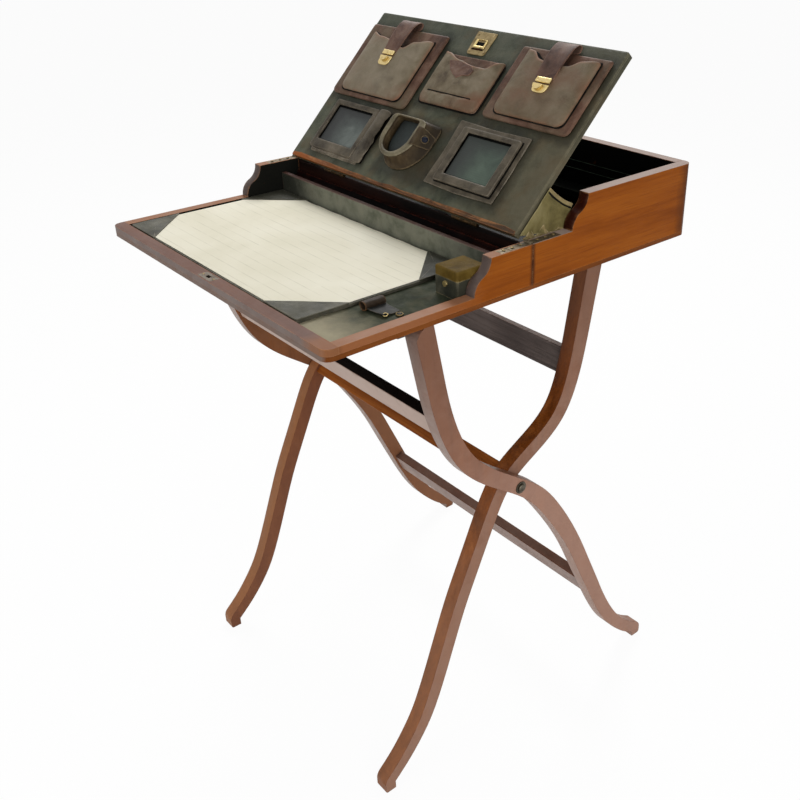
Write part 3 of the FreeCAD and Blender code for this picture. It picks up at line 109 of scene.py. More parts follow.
class Shader(Nodes):
    """One procedural material, kept in FINISHES under its key."""

    def __init__(self, key, kind):
        self.material = bpy.data.materials.new(key + "_" + kind)
        self.material.use_nodes = True
        super().__init__(self.material.node_tree)
        self.surface = self.add("BsdfPrincipled")
        self.output = self.add("OutputMaterial", {0: self.surface.outputs[0]})
        place = self.add("TexCoord").outputs
        self.at = place["Object"]
        self.normal = place["Normal"]
        FINISHES[key] = self.material

    def set(self, **sockets):
        for name, value in sockets.items():
            self.feed(self.surface.inputs[name.replace("_", " ")], value)

    def stretched(self, scale):
        return self.add("Mapping", {0: self.at, "Scale": scale}).outputs[0]

    def noise(self, scale, detail=4.0, rough=0.55, bend=0.0, place=None):
        return self.add("TexNoise", {"Vector": place or self.at, "Scale": scale, "Detail": detail,
                "Roughness": rough, "Distortion": bend}).outputs["Fac"]

    def cells(self, scale):
        return self.add("TexVoronoi", {"Vector": self.at, "Scale": scale},
            feature="DISTANCE_TO_EDGE").outputs["Distance"]

    def waves(self, scale, direction):
        return self.add("TexWave", {"Vector": self.at, "Scale": scale}, wave_type="BANDS",
            bands_direction=direction).outputs["Fac"]

    def ramp(self, amount, *stops):
        made = self.add("ValToRGB", {0: amount})
        band = made.color_ramp
        while len(band.elements) < len(stops):
            band.elements.new(0.5)
        for element, (at, colour) in zip(band.elements, stops):
            element.position = at
            element.color = rgb(*colour)
        return made.outputs[0]

    def span(self, amount, low, high, start=0.0, end=1.0):
        return self.add("MapRange", {0: amount, 1: low, 2: high, 3: start, 4: end}).outputs[0]

    def mix(self, amount, first, second):
        inputs = {"Factor": amount, 6: first, 7: second}
        return self.add("Mix", inputs, data_type="RGBA").outputs[2]

    def tint(self, colour, share, amount, tint):
        return self.mix(self.times(share, amount), colour, tint)

    def bump(self, height, strength, distance, normal=None):
        inputs = {"Height": height, "Strength": strength, "Distance": distance, "Normal": normal}
        return self.add("Bump", inputs).outputs[0]

    def along(self, axis, vector=None):
        """The place along one axis of the object, in metres, or a vector's part along it."""
        return self.add("SeparateXYZ", {0: vector or self.at}).outputs[axis]

    def stretches(self, colour, bands):
        """Tints the colour along an axis. A band is (axis, from, to, tint, amount at the end)."""
        for axis, start, end, tint, amount in bands:
            patchy = self.span(self.noise(45, 5, 0.6), 0.25, 0.75, -0.15, 0.15)
            share = self.math("ADD", self.span(self.along(axis), start, end), patchy)
            colour = self.tint(colour, self.span(share, 0.1, 0.9), amount, tint)
        return colour

    def sides(self, colour, faces, share=1.0):
        """Tints what faces one way. A face is (axis, sign, low, high, tint, amount): the amount is full
        where the normal along the axis, times the sign, reaches high."""
        for axis, sign, low, high, tint, amount in faces:
            facing = self.times(self.along(axis, self.normal), sign)
            colour = self.tint(colour, self.span(facing, low, high, 0.0, amount), share, tint)
        return colour

    def outside(self, place, low, high):
        """How far a place lies outside a stretch."""
        from_middle = self.math("ABSOLUTE", self.math("SUBTRACT", place, (low + high) / 2))
        return self.math("SUBTRACT", from_middle, (high - low) / 2)

    def shade_around(self, box, reach=0.012, amount=0.6):
        """Falls off outside a box on the panel, given as x0, x1, v0, v1 in millimetres: the mask of painted
        shade around what lies in the box.
        """
        x0, x1, v0, v1 = (length * MM for length in box)
        up = self.math("ADD", self.math("ADD", self.along(1), self.along(2)), -(HINGE_Y + HINGE_Z) * MM)
        away = self.math("MAXIMUM", self.outside(self.along(0), x0, x1),
            self.outside(self.times(up, HALF), v0, v1))
        away = self.math("ADD", away, self.span(self.noise(60, 4), 0.3, 0.7, -0.003, 0.003))
        return self.span(away, 0.0, reach, amount, 0.0)

    def arris(self, radius):
        """One along the edges of the piece, nought away from them."""
        rounded = self.add("Bevel", {"Radius": radius}, samples=4).outputs[0]
        true = self.add("NewGeometry").outputs["True Normal"]
        match = self.add("VectorMath", {0: rounded, 1: true}, operation="DOT_PRODUCT")
        return self.span(match.outputs["Value"], 0.995, 0.85)


def wood(key, dark, mid, light, along, worn=None, faces=(), bands=(), late=()):
    """Old hardwood: figure and pores along one axis, rubbed arrises, faces tinted with painted sheen,
    reflection and shade, and stretches of another tint.

    Bands lie under the tints of the faces and late ones over them.
    """
    make = Shader(key, "wood")
    squeeze = [1.0, 1.0, 1.0]
    squeeze[along] = 0.06
    broad = make.noise(46, 6, 0.62, 0.5, make.stretched(squeeze))
    colour = make.ramp(broad, (0.3, dark), (0.5, mid), (0.72, light))
    blotch = make.noise(12, 3, 0.5)
    colour = make.mix(make.span(blotch, 0.5, 0.76, 0.0, 0.45), colour, dark)
    squeeze[along] = 0.03
    pore = make.noise(520, 3, 0.6, 0.0, make.stretched(squeeze))
    streak = make.span(pore, 0.5, 0.34)
    colour = make.tint(colour, streak, 0.4, dark)
    colour = make.stretches(colour, bands)
    # Patchy strength for the painted sheen, reflection and shade on the faces
    uneven_light = make.span(make.noise(34, 6, 0.62, 0.6), 0.24, 0.6, 0.6, 1.0)
    colour = make.sides(colour, faces, uneven_light)
    colour = make.stretches(colour, late)
    if worn:
        rubbed = make.times(make.arris(0.0016), make.span(make.noise(70, 4, 0.6), 0.38, 0.62))
        colour = make.tint(colour, rubbed, 0.7, worn)
    smear = make.span(make.noise(24, 5, 0.65), 0.3, 0.75, 0.28, 0.52)
    height = make.math("ADD", make.times(streak, -0.6), broad)
    make.set(Base_Color=colour, Roughness=smear, IOR=1.14, Normal=make.bump(height, 0.25, 0.0004))


def leather(key, dark, mid, light, worn, patch=None, patches=0.5, rough=0.5, edge=0.0022, index=1.2, bands=(),
        faces=(), around=()):
    """Old leather: mottled colour, fine pebble grain, creases, rubbed edges, painted shade around what is
    sewn on.
    """
    make = Shader(key, "leather")
    cloud = make.noise(32, 6, 0.62, 0.3)
    colour = make.ramp(cloud, (0.3, dark), (0.5, mid), (0.75, light))
    if patch:
        stain = make.span(make.noise(13, 4, 0.6, 0.5), 0.62 - 0.3 * patches, 0.86 - 0.3 * patches)
        colour = make.mix(stain, colour, patch)
    colour = make.sides(make.stretches(colour, bands), faces)
    # Painted shade around each piece sewn to the panel
    for box in around:
        colour = make.mix(make.shade_around(box), colour, SEWN_ON_SHADE)
    scuff = make.span(make.noise(150, 6, 0.7, 1.2), 0.6, 0.74)
    colour = make.tint(colour, scuff, 0.35, light)
    rubbed = make.times(make.arris(edge), make.span(make.noise(55, 4, 0.65), 0.34, 0.58))
    colour = make.tint(colour, rubbed, 0.8, worn)
    crease = make.noise(85, 7, 0.7, 1.4)
    pebble = make.bump(make.span(make.cells(900), 0.0, 0.25), 0.3, 0.0003)
    make.set(Base_Color=colour, IOR=index, Normal=make.bump(crease, 0.35, 0.0012, pebble))
    make.set(Roughness=make.span(make.noise(45, 5, 0.6), 0.3, 0.72, rough - 0.12, rough + 0.14))


def metal(key, bright, dull, rough=0.3, tarnish=0.5):
    """Handled metal: bright where rubbed and tarnished in patches."""
    make = Shader(key, "metal")
    cloud = make.span(make.noise(140, 6, 0.65, 0.4), 0.62 - 0.3 * tarnish, 0.9 - 0.3 * tarnish)
    scratch = make.noise(700, 3, 0.6, 0.0, make.stretched((1.0, 0.06, 1.0)))
    make.set(Base_Color=make.mix(cloud, bright, dull), Metallic=1.0)
    make.set(Normal=make.bump(scratch, 0.12, 0.0002))
    make.set(Roughness=make.span(cloud, 0.0, 1.0, rough, rough + 0.28))


def paper(key):
    """Cream blotting paper with faint ruled lines, foxing and a soft nap."""
    make = Shader(key, "paper")
    cloud = make.noise(7, 5, 0.55, 0.4)
    colour = make.ramp(cloud, (0.25, (215, 210, 187)), (0.5, (227, 222, 202)), (0.8, (236, 232, 215)))
    rows = make.waves(19.0, "Y")
    line = make.times(make.span(rows, 0.965, 0.995), make.span(make.noise(40, 3), 0.35, 0.65))
    colour = make.tint(colour, line, 0.26, (150, 146, 120))
    spot = make.span(make.noise(120, 4, 0.6), 0.7, 0.8)
    colour = make.tint(colour, spot, 0.2, (190, 172, 126))
    nap = make.bump(make.noise(1600, 4, 0.7), 0.2, 0.0002)
    make.set(Base_Color=colour, Roughness=0.85, Normal=make.bump(make.noise(26, 4, 0.5), 0.2, 0.0012, nap))
    make.set(Specular_IOR_Level=0.25)


def cloth(key, dark, light, bands=()):
    """Woven cloth or faded card: two colours in clouds over a fine weave."""
    make = Shader(key, "cloth")
    colour = make.mix(make.span(make.noise(30, 6, 0.65, 0.6), 0.3, 0.72), dark, light)
    colour = make.stretches(colour, bands)
    thread = make.times(make.waves(150, "X"), make.waves(150, "Z"))
    make.set(Base_Color=make.tint(colour, thread, 0.2, dark), Roughness=0.7)
    make.set(Normal=make.bump(thread, 0.25, 0.0003))


# Colours, then faces and bands of tint that several finishes share; the face tints are painted sheen,
# reflection and shade

PINK = (168, 148, 138)
TAN = (176, 124, 82)
BLACK = (6, 6, 5)
MAROON = (44, 16, 9)
# Painted sheen: pinkish grey on faces that look up
TOP_SHEEN = (2, 1.0, 0.8, 0.97, PINK, 1.2)
# Painted shade, maroon, on the case sides' front-facing faces; painted sheen, grey, on the flap sides'
# front-facing faces
CASE_OGEE_SHADE = (1, -1.0, 0.12, 0.45, MAROON, 1.3)
FLAP_OGEE_SHEEN = (1, -1.0, 0.12, 0.5, (86, 74, 69), 1.4)
# Painted sheen: a pinker tan on the flap sides' up-facing faces
FLAP_TOP_SHEEN = (2, 1.0, 0.8, 0.97, (150, 108, 82), 1.0)
REAR_END = (1, 0.272, 0.298, (74, 40, 18), 0.85)
CASE_SEAM = (1, 0.006, 0.0004, (52, 24, 10), 0.9)
FLAP_SEAM = (1, -0.006, -0.0004, (52, 24, 10), 0.9)
FLAP_FRONT = (1, -0.06, -0.2, (140, 90, 58), 0.85)
FLAP_CORNER = (1, -0.276, -0.3, (58, 36, 22), 0.9)
ORANGE = ((110, 52, 6), (136, 70, 12), (152, 84, 20))
BROWN = ((80, 38, 12), (118, 62, 22), (146, 84, 36))


def shaded_inside(sign, tint=BLACK):
    """The face of a side that looks into the desk, tinted dark as painted shade."""
    return (0, sign, 0.6, 0.9, tint, 1.4)


def leg_side_light(*tint):
    """Both flanks of a leg, tinted with painted light: paler and pinker on the lit legs, a darker brown on
    the shaded left inner leg.
    """
    return tuple((0, sign, 0.8, 0.98, tint, 0.8) for sign in (1.0, -1.0))


# Painted reflection, grey-pink, on faces that look forward and down; painted light, a lighter tan, on the
# left inner leg's forward faces
UNDER_FRONT_REFLECTION = (1, -1.0, 0.5, 0.85, (164, 146, 137), 1.0)
LIT_TAN_FRONT = (1, -1.0, 0.5, 0.85, (154, 106, 72), 0.8)
# Painted sheen: a thin pinkish line on the rails' top faces
RAIL_TOP_SHEEN = (2, 1.0, 0.8, 0.9, (176, 156, 146), 1.2)
LEG_EDGE = (78, 42, 24)
# Painted light along the legs: darker at their heads, in painted shade under the case, and lighter lower down
SHADED_LEG_HEAD = (2, 0.52, 0.7, (108, 76, 60), 0.55)
LIT_LEG_MIDDLE = (2, 0.54, 0.42, (176, 140, 123), 0.5)
LIT_LEG_FOOT = (2, 0.55, 0.2, (168, 122, 94), 0.45)
# Boxes of what is sewn to the panel; painted shade darkens the leather around them
SEWN_ON = ((-249, -65, 113, 244), (85, 246, 134, 250), (-53, 75, 134, 219), (-218, -84, 18, 107),
    (-56, 48, 22, 106), (56, 198, 22, 126))

# Woods

# Painted shade, black, on the case back's face that looks into the case and on the sides' inner faces
wood("case_back", *ORANGE, 0, TAN, (TOP_SHEEN, (1, -1.0, 0.6, 0.9, BLACK, 1.4)))
for side, sign in (("left", 1.0), ("right", -1.0)):
    wood("case_" + side, *ORANGE, 1, TAN, (TOP_SHEEN, shaded_inside(sign), CASE_OGEE_SHADE), (REAR_END, CASE_SEAM))
    # On the right flap side only: tan towards the front and dark at its front corner
    right_front_tints = () if side == "left" else (FLAP_FRONT, FLAP_CORNER)
    wood("flap_" + side, *ORANGE, 1, TAN, (FLAP_TOP_SHEEN, shaded_inside(sign, (24, 24, 21)), FLAP_OGEE_SHEEN),
        right_front_tints + (FLAP_SEAM,))
# Flap front rail: painted sheen on its top and its front faces; its right-facing faces darker
wood("flap_front", (58, 28, 18), (96, 50, 30), (130, 78, 50), 0, TAN,
    ((2, 1.0, 0.85, 0.99, (118, 92, 82), 0.8), (1, -1.0, 0.7, 0.95, (126, 114, 108), 0.9),
        (0, 1.0, 0.5, 0.9, (70, 42, 26), 0.9)), (), ((0, 0.222, 0.25, (140, 92, 60), 0.8),))
# Case bottom and flap board: painted shade, black, on faces that look up into the case; painted reflection,
# grey, on faces that look forward and down
wood("bottom", (84, 44, 18), (112, 60, 20), (134, 78, 34), 1, None,
    ((2, 1.0, 0.6, 0.9, BLACK, 1.4), (1, -1.0, 0.7, 0.95, (120, 106, 98), 0.9),
        (2, -1.0, 0.3, 0.7, (112, 104, 100), 0.9)))
# Each leg has its own copy of the wood for its own painted light on the flanks and forward faces, painted
# shade at its head and painted light lower down
wood("outer_leg_left", *BROWN, 2, LEG_EDGE, leg_side_light(132, 90, 64) + (UNDER_FRONT_REFLECTION,), (LIT_LEG_FOOT,),
    ((2, 0.58, 0.7, (74, 38, 24), 0.9),))
wood("outer_leg_right", *BROWN, 2, LEG_EDGE, leg_side_light(146, 110, 93) + (UNDER_FRONT_REFLECTION,), (),
    (LIT_LEG_MIDDLE, SHADED_LEG_HEAD))
wood("inner_leg_left", *BROWN, 2, LEG_EDGE, leg_side_light(112, 70, 51) + (LIT_TAN_FRONT,), (LIT_LEG_FOOT,))
wood("inner_leg_right", *BROWN, 2, LEG_EDGE, leg_side_light(150, 117, 100), (LIT_LEG_FOOT,), (SHADED_LEG_HEAD,))
# Painted reflection, grey-pink, on the rail's forward face; painted shade, near-black, on its top face
wood("rail", *BROWN, 0, LEG_EDGE, ((1, -1.0, 0.5, 0.8, (186, 164, 152), 1.2),
        (2, 1.0, 0.75, 0.9, (12, 6, 5), 1.4)))
# Painted reflection, pinkish grey, on the low rail's underside; painted shade, a darker brown, on its top
wood("low_rail", (46, 20, 10), (76, 36, 18), (104, 56, 30), 0, TAN,
    ((2, -1.0, 0.2, 0.5, (172, 150, 140), 1.1), (2, 1.0, 0.5, 0.9, (96, 74, 64), 0.8)))
wood("deep_rail", (92, 46, 16), (132, 72, 28), (158, 94, 44), 0, TAN)
wood("dark", (56, 48, 46), (92, 82, 78), (116, 104, 99), 0, (140, 122, 112), (RAIL_TOP_SHEEN,))
wood("black_rail", (7, 6, 5), (15, 11, 10), (36, 18, 13), 0, (74, 34, 24))

# Leathers

leather("green", (52, 55, 43), (78, 80, 65), (96, 94, 79), (140, 132, 108), (86, 72, 50), 0.35,
    bands=((0, 0.1, 0.26, (92, 80, 60), 0.45), (2, 0.95, 1.0, (56, 61, 52), 0.45)), around=SEWN_ON)
leather("lining", (30, 34, 25), (52, 56, 43), (78, 76, 60), (104, 96, 78), (74, 66, 46), 0.3, rough=0.65,
    index=1.14, bands=((1, -0.2, -0.285, (160, 152, 128), 1.0),))
leather("wallet", (58, 38, 29), (94, 69, 56), (126, 102, 86), (172, 136, 112), (92, 82, 64), 0.45)
leather("pocket", (70, 58, 44), (110, 99, 80), (138, 126, 107), (146, 102, 78), (112, 80, 62), 0.5,
    edge=0.006, bands=((0, -0.06, -0.16, (136, 126, 108), 0.5), (0, 0.0, 0.15, (100, 86, 68), 0.4)))
leather("strap", (52, 36, 29), (92, 68, 58), (122, 98, 84), (150, 114, 94))
leather("frame", (46, 40, 33), (80, 73, 61), (107, 98, 84), (160, 149, 132))
leather("watch", (30, 22, 13), (62, 49, 32), (94, 80, 56), (136, 118, 90),
    bands=((0, 0.004, 0.026, (32, 26, 18), 0.8),))
leather("rim", (74, 68, 53), (112, 104, 83), (144, 134, 111), (184, 172, 150))
leather("ink", (56, 42, 14), (92, 73, 30), (112, 92, 46), (150, 130, 84), index=1.1)
leather("tar", (30, 32, 27), (56, 56, 46), (84, 82, 68), (146, 134, 100))
leather("black", (6, 6, 5), (11, 11, 10), (22, 22, 19), (46, 43, 37), index=1.08)
leather("pitch", (5, 6, 5), (9, 10, 8), (18, 21, 16), (46, 54, 42), index=1.06)
leather("trough", (5, 4, 4), (9, 7, 7), (20, 14, 12), (96, 44, 30), index=1.06)
leather("cross", (80, 83, 70), (108, 109, 95), (126, 124, 109), (110, 76, 62),
    bands=((0, -0.13, -0.235, (26, 27, 23), 0.9), (0, 0.12, 0.25, (48, 52, 46), 0.8)),
    faces=((2, 1.0, 0.6, 0.9, (66, 40, 34), 0.9),))
leather("gusset", (78, 70, 40), (110, 100, 62), (132, 122, 84), (152, 142, 104))
leather("rust", (44, 30, 18), (88, 54, 30), (128, 82, 46), (160, 110, 70), (62, 54, 42), 0.6,
    bands=((0, -0.05, -0.24, (146, 80, 34), 0.85),))
leather("corner", (50, 50, 43), (78, 76, 65), (104, 101, 88), (140, 134, 118),
    bands=((1, -0.2, -0.07, (36, 37, 30), 0.75),))
leather("hem", (96, 84, 52), (134, 118, 80), (160, 143, 104), (180, 164, 130))
leather("tongue", (18, 18, 17), (34, 34, 32), (58, 57, 52), (96, 90, 78))
leather("roll", (26, 20, 14), (46, 37, 28), (70, 56, 42), (126, 88, 54))
leather("night", (8, 10, 18), (14, 18, 30), (26, 32, 50), (50, 56, 78), rough=0.3)
leather("seam", (18, 24, 18), (34, 44, 35), (50, 62, 50), (70, 84, 70))

# Cards, cloth, paper and metals

# Painted shade: the cards darken at their left and top edges, under the frames' edges
cloth("slate_left", (52, 59, 56), (98, 105, 100), bands=((0, -0.15, -0.2, (9, 12, 11), 1.0),
        (2, 0.862, 0.879, (11, 14, 13), 0.95)))
cloth("slate_right", (35, 50, 39), (68, 83, 70), bands=((0, 0.146, 0.096, (9, 16, 10), 1.0),
        (2, 0.872, 0.889, (12, 20, 14), 0.9)))
cloth("bed", (8, 11, 10), (36, 46, 44))
paper("paper")
metal("brass", (206, 184, 128), (136, 116, 74), 0.36, 0.35)
metal("dull", (140, 122, 86), (84, 70, 46), 0.46, 0.7)
metal("plate", (138, 121, 86), (104, 90, 60), 0.55, 0.6)
metal("bronze", (66, 50, 32), (34, 26, 18), 0.5, 0.6)
metal("pewter", (108, 97, 79), (62, 53, 41), 0.5, 0.7)
metal("steel", (98, 89, 78), (56, 48, 41), 0.46, 0.6)
metal("iron", (96, 90, 78), (46, 40, 32), 0.4, 0.6)


def dress(round_by, **finishes):
    """Gives CAD nodes their finishes, and softens their machined arrises by a width in metres."""
    for finish, names in finishes.items():
        for name in names.split():
            node = NODES[name]
            node.data.materials.clear()
            node.data.materials.append(FINISHES[finish])
            if round_by:
                weld = node.modifiers.new("Join", "WELD")
                weld.merge_threshold = 0.00002
                soft = node.modifiers.new("Arris", "BEVEL")
                soft.width = round_by
                soft.segments = 2
                soft.limit_method = "ANGLE"
                soft.angle_limit = radians(38)
                soft.harden_normals = True


WOOD_ARRIS, LEG_ARRIS, METAL_ARRIS, NO_ARRIS = 0.0012, 0.0018, 0.0003, 0
dress(WOOD_ARRIS, case_back="case_back", case_left="case_left_side", case_right="case_right_side",
    flap_left="flap_left_side", flap_right="flap_right_side", flap_front="flap_front_rail",
    bottom="case_bottom flap_board", black_rail="case_front_rail", pitch="panel_rest_ledge",
    corner="blotter_board blotter_corners", cross="flap_cross_rail", trough="pen_tray",
    rail="outer_upper_stretcher", low_rail="outer_lower_stretcher", deep_rail="inner_middle_stretcher",
    dark="inner_upper_stretcher leg_cleats leg_stops prop_bracket panel_prop", lining="flap_lining pen_loop",
    tar="inkwell_body", ink="inkwell_lid", green="panel_board panel_cover",
    wallet="wallet_left wallet_right centre_pocket", strap="wallet_left_strap wallet_right_strap",
    frame="photo_frame_left photo_frame_right", watch="watch_holder")
dress(LEG_ARRIS, inner_leg_left="inner_leg_left", inner_leg_right="inner_leg_right",
    outer_leg_left="outer_leg_left", outer_leg_right="outer_leg_right")
dress(NO_ARRIS, paper="blotter_paper", slate_left="photo_inserts", gusset="gusset_left gusset_right")
dress(METAL_ARRIS, brass="wallet_clasp_plates clasp_left_thumb clasp_right_thumb inkwell_button",
    dull="finger_plate inkwell_bottle", bronze="panel_hinge_case_leaves panel_hinge_panel_leaves",
    pewter="flap_hinge_case_leaves flap_hinge_flap_leaves lock_link_plate", steel="lock lock_bolt",
    iron="pivot_bolts leg_hinge_pins")


# Mesh builders. Lengths in millimetres, placed in the panel's slope or in the desk's own frame.

def on_panel(x, v, w):
    """A point x across, v up the panel from its hinge line and w out of the panel from that line."""
    return Vector((x, HINGE_Y + (v - w) * HALF, HINGE_Z + (v + w) * HALF)) * MM


def on_desk(x, y, z):
    return Vector((x, y, z)) * MM


def ripple(x, y, size, height, seed=0.0):
    """A gentle unevenness, the same each time."""
    return height * noise.noise(Vector((x / size, y / size, seed)))


def stand(name, data):
    made = bpy.data.objects.new(name, data)
    bpy.context.scene.collection.objects.link(made)
    return made


def piece(name, shape, body, finish, place=on_panel, stands_for=(), thick=0.0,
        levels=1):
    """One mesh of points and faces, with its finish and body."""
    points, faces = shape
    mesh = bpy.data.meshes.new(name)
    mesh.from_pydata([place(*point) for point in points], [], faces)
    work = bmesh.new()
    work.from_mesh(mesh)
    bmesh.ops.recalc_face_normals(work, faces=work.faces)
    work.to_mesh(mesh)
    work.free()
    mesh.shade_smooth()
    mesh.materials.append(FINISHES[finish])
    made = stand(name, mesh)
    if thick:
        shell = made.modifiers.new("Thickness", "SOLIDIFY")
        shell.thickness = thick * MM
        shell.offset = 0
    if levels:
        finer = made.modifiers.new("Smooth", "SUBSURF")
        finer.levels = levels
        finer.render_levels = levels
    if stands_for:
        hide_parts(*stands_for)
    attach(made, body)
    return made


def skin(rings, caps=True, loop=False):
    """Points and faces of a tube through rings of one length each, shut at its ends or joined into a loop."""
    count, total = len(rings[0]), len(rings)
    points = [point for ring in rings for point in ring]
    faces = []
    for i in range(total if loop else total - 1):
        low, high = i * count, (i + 1) % total * count
        for j in range(count):
            k = (j + 1) % count
            faces.append((low + j, low + k, high + k, high + j))
    for ring in (0, total - 1) if caps and not loop else ():
        centre = len(points)
        points.append(tuple(sum(p[i] for p in rings[ring]) / count for i in range(3)))
        faces += [(ring * count + j, ring * count + (j + 1) % count, centre) for j in range(count)]
    return points, faces


def grid(columns, rows, spot):
    """Points and faces of a sheet. Spot gives the point at a column and a row."""
    points = [spot(i, j) for j in range(rows + 1) for i in range(columns + 1)]
    corners = [j * (columns + 1) + i for j in range(rows) for i in range(columns)]
    return points, [(a, a + 1, a + columns + 2, a + columns + 1) for a in corners]


def eased(first, corner, last, count=3):
    """Points on a bend from the first to the last."""
    shares = [k / count for k in range(count + 1)]
    return [first * (1 - t) ** 2 + corner * 2 * t * (1 - t) + last * t * t for t in shares]


def rounded_outline(corners, radius, step=7.0, bend=4, along=None):
    """An anticlockwise outline with eased corners and points along its edges.

    A corner is (x, y) or (x, y, its own radius). Along divides every edge into as many stretches.
    """
    spots = [Vector(corner[:2]) for corner in corners]
    radii = [corner[2] if len(corner) > 2 else radius for corner in corners]
    outline = []
    for i, here in enumerate(spots):
        following = (i + 1) % len(spots)
        before = (spots[i - 1] - here).normalized()
        after = (spots[following] - here).normalized()
        end = here + after * radii[i]
        outline += eased(here + before * radii[i], here, end, bend)
        stop = spots[following] - after * radii[following]
        pieces = along or max(2, round((stop - end).length / step))
        outline += [end + (stop - end) * k / pieces for k in range(1, pieces)]
    return outline


def rectangle(x0, x1, y0, y1, radius, **divided):
    return rounded_outline([(x0, y0), (x1, y0), (x1, y1), (x0, y1)], radius, **divided)


def inset(outline, distance):
    """The outline moved inwards along its own normals."""
    moved = []
    for i, point in enumerate(outline):
        run = outline[(i + 1) % len(outline)] - outline[i - 1]
        inward = Vector((-run.y, run.x)).normalized()
        moved.append(point + inward * distance)
    return moved


def pad(name, outline, low, high, edge, crown, body, finish, place=on_panel, uneven=(40, 0.5),
        stands_for=(), seed=0.0):
    """A leather or stuffed piece lying on a face: rolled edges and a crowned, uneven top."""
    middle = sum(outline, Vector((0, 0))) / len(outline)
    rings = [[(p.x, p.y, low) for p in outline]]
    for share in (0.0, 0.35, 0.7, 1.0):
        turn = share * pi / 2
        row = inset(outline, edge * (1 - cos(turn)))
        level = high - edge + edge * sin(turn)
        rings.append([(p.x, p.y, level + share * ripple(p.x, p.y, *uneven, seed)) for p in row])
    rim = inset(outline, edge)
    for share in (0.1, 0.25, 0.42, 0.6, 0.78, 0.92):
        rise = crown * (1 - (1 - share) ** 2)
        row = [p + (middle - p) * share for p in rim]
        rings.append([(p.x, p.y, high + rise + ripple(p.x, p.y, *uneven, seed)) for p in row])
    return piece(name, skin(rings), body, finish, place, stands_for)


def sewn(name, outline, low, high, edge, crown, finish, uneven=(40, 0.5), seed=0.0, stands_for=()):
    """A padded piece on the panel, its heights measured from the panel's face."""
    return pad(name, outline, FACE + low, FACE + high, edge, crown, "panel", finish, on_panel, uneven,
        stands_for, seed)


def moulding(name, rows, finish, slot="brown_leather", uneven=(30, 0.3), seed=0.0, stands_for=()):
    """A closed moulding on the panel through rows, each an outline and its height over the panel's face."""
    rings = []
    for outline, height in rows:
        rings.append([(p.x, p.y, FACE + height + ripple(p.x, p.y, *uneven, seed)) for p in outline])
    return piece(name, skin(rings, loop=True), "panel", finish, on_panel, stands_for)


def surround(name, outer, inner, profile, finish, *looks, **more):
    """A moulding between two outlines of one length: profile is (share from outer to inner, height)."""
    rows = [([a + (b - a) * share for a, b in zip(outer, inner)], height) for share, height in profile]
    return moulding(name, rows, finish, *looks, **more)


def ribbon(name, stations, thick, finish, stands_for, seed):
    """A strap on the panel along stations (across, along, out, half width), with rounded long edges."""
    rings = []
    for i, (x, v, w, half) in enumerate(stations):
        ahead = Vector(stations[min(i + 1, len(stations) - 1)][1:3])
        back = Vector(stations[max(i - 1, 0)][1:3])
        run = (ahead - back).normalized()
        out = Vector((-run.y, run.x))
        top, under = [], []
        for share in (-1.0, -0.94, -0.6, -0.2, 0.2, 0.6, 0.94, 1.0):
            at = x + share * half
            half_thick = thick / 2 * (0.35 if abs(share) == 1.0 else 1.0)
            lift = 0.5 * (1 - share * share) + ripple(at, v, 14, 0.35, seed + w)
            for row, height in ((top, lift + half_thick), (under, lift - half_thick)):
                row.append((at, v + out.x * height, w + out.y * height))
        rings.append(top + under[::-1])
    return piece(name, skin(rings), "panel", finish, on_panel, stands_for)


def pocket(name, x0, x1, foot, mouth, base, lift, round_foot, finish, thick=1.8, wrinkles=(24, 0.8), dents=(),
        box=5, seed=0.0, stands_for=()):
    """A pocket's front, sewn down at its sides and foot. Its open mouth is a function of the share across."""
    columns, rows = 40, 28

    def spot(i, j):
        t = 0.45 * (1 - cos(pi / 2 * j / rows)) + 0.55 * j / rows
        u = 0.65 * (0.5 - 0.5 * cos(pi * i / columns)) + 0.35 * i / columns
        v = foot + (mouth(u) - foot) * t
        near = max(0.0, round_foot - (v - foot))
        narrow = round_foot - sqrt(max(0.0, round_foot ** 2 - near ** 2))
        x = x0 + narrow + (x1 - x0 - 2 * narrow) * u
        side = 1 - abs(2 * u - 1) ** box
        rise = 1 - (1 - t) ** (box + 1)
        height = lift * sqrt(max(0.0, side)) * sqrt(max(0.0, rise))
        height += min(1.0, height / lift) * ripple(x, v, *wrinkles, seed)
        for at_v, depth, wide in dents:
            height -= depth * exp(-((v - at_v) / wide) ** 2) * side
        return (x, v, base + height)

    return piece(name, grid(columns, rows, spot), "panel", finish, on_panel, stands_for,
        thick)


def course(points, x):
    """The height at x of an edge through points, eased between them."""
    for (x0, y0), (x1, y1) in zip(points, points[1:]):
        if x <= x1:
            t = max(0.0, (x - x0) / (x1 - x0))
            return y0 + (y1 - y0) * t * t * (3 - 2 * t)
    return points[-1][1]


def round_rings(profile, radius, lift, angles, centre, turn, shift=0.0):
    """Rings of a round form. Profile is (share of the radius, rise), and turn points its axis."""
    rings = []
    for share, rise in profile:
        reach = radius * share
        flat = [(cos(a) * reach, sin(a) * reach + shift, rise * radius * lift) for a in angles]
        rings.append([tuple(Vector(centre) + turn @ Vector(point)) for point in flat])
    return rings


def facing(outward):
    """The turn that points an upright form outward."""
    return Vector(outward).normalized().to_track_quat("Z", "Y").to_matrix()


SCREW_HEAD = ((1.0, -0.4), (1.0, 0.1), (0.8, 0.35), (0.3, 0.5))
STUD_RING = ((1.32, -0.5), (1.36, 0.1), (1.22, 0.55), (1.05, 0.5), (0.98, 0.1), (0.98, -0.5))
STUD_CAP = ((0.98, -0.4), (0.98, 0.2), (0.8, 0.62), (0.45, 0.82), (0.15, 0.88))


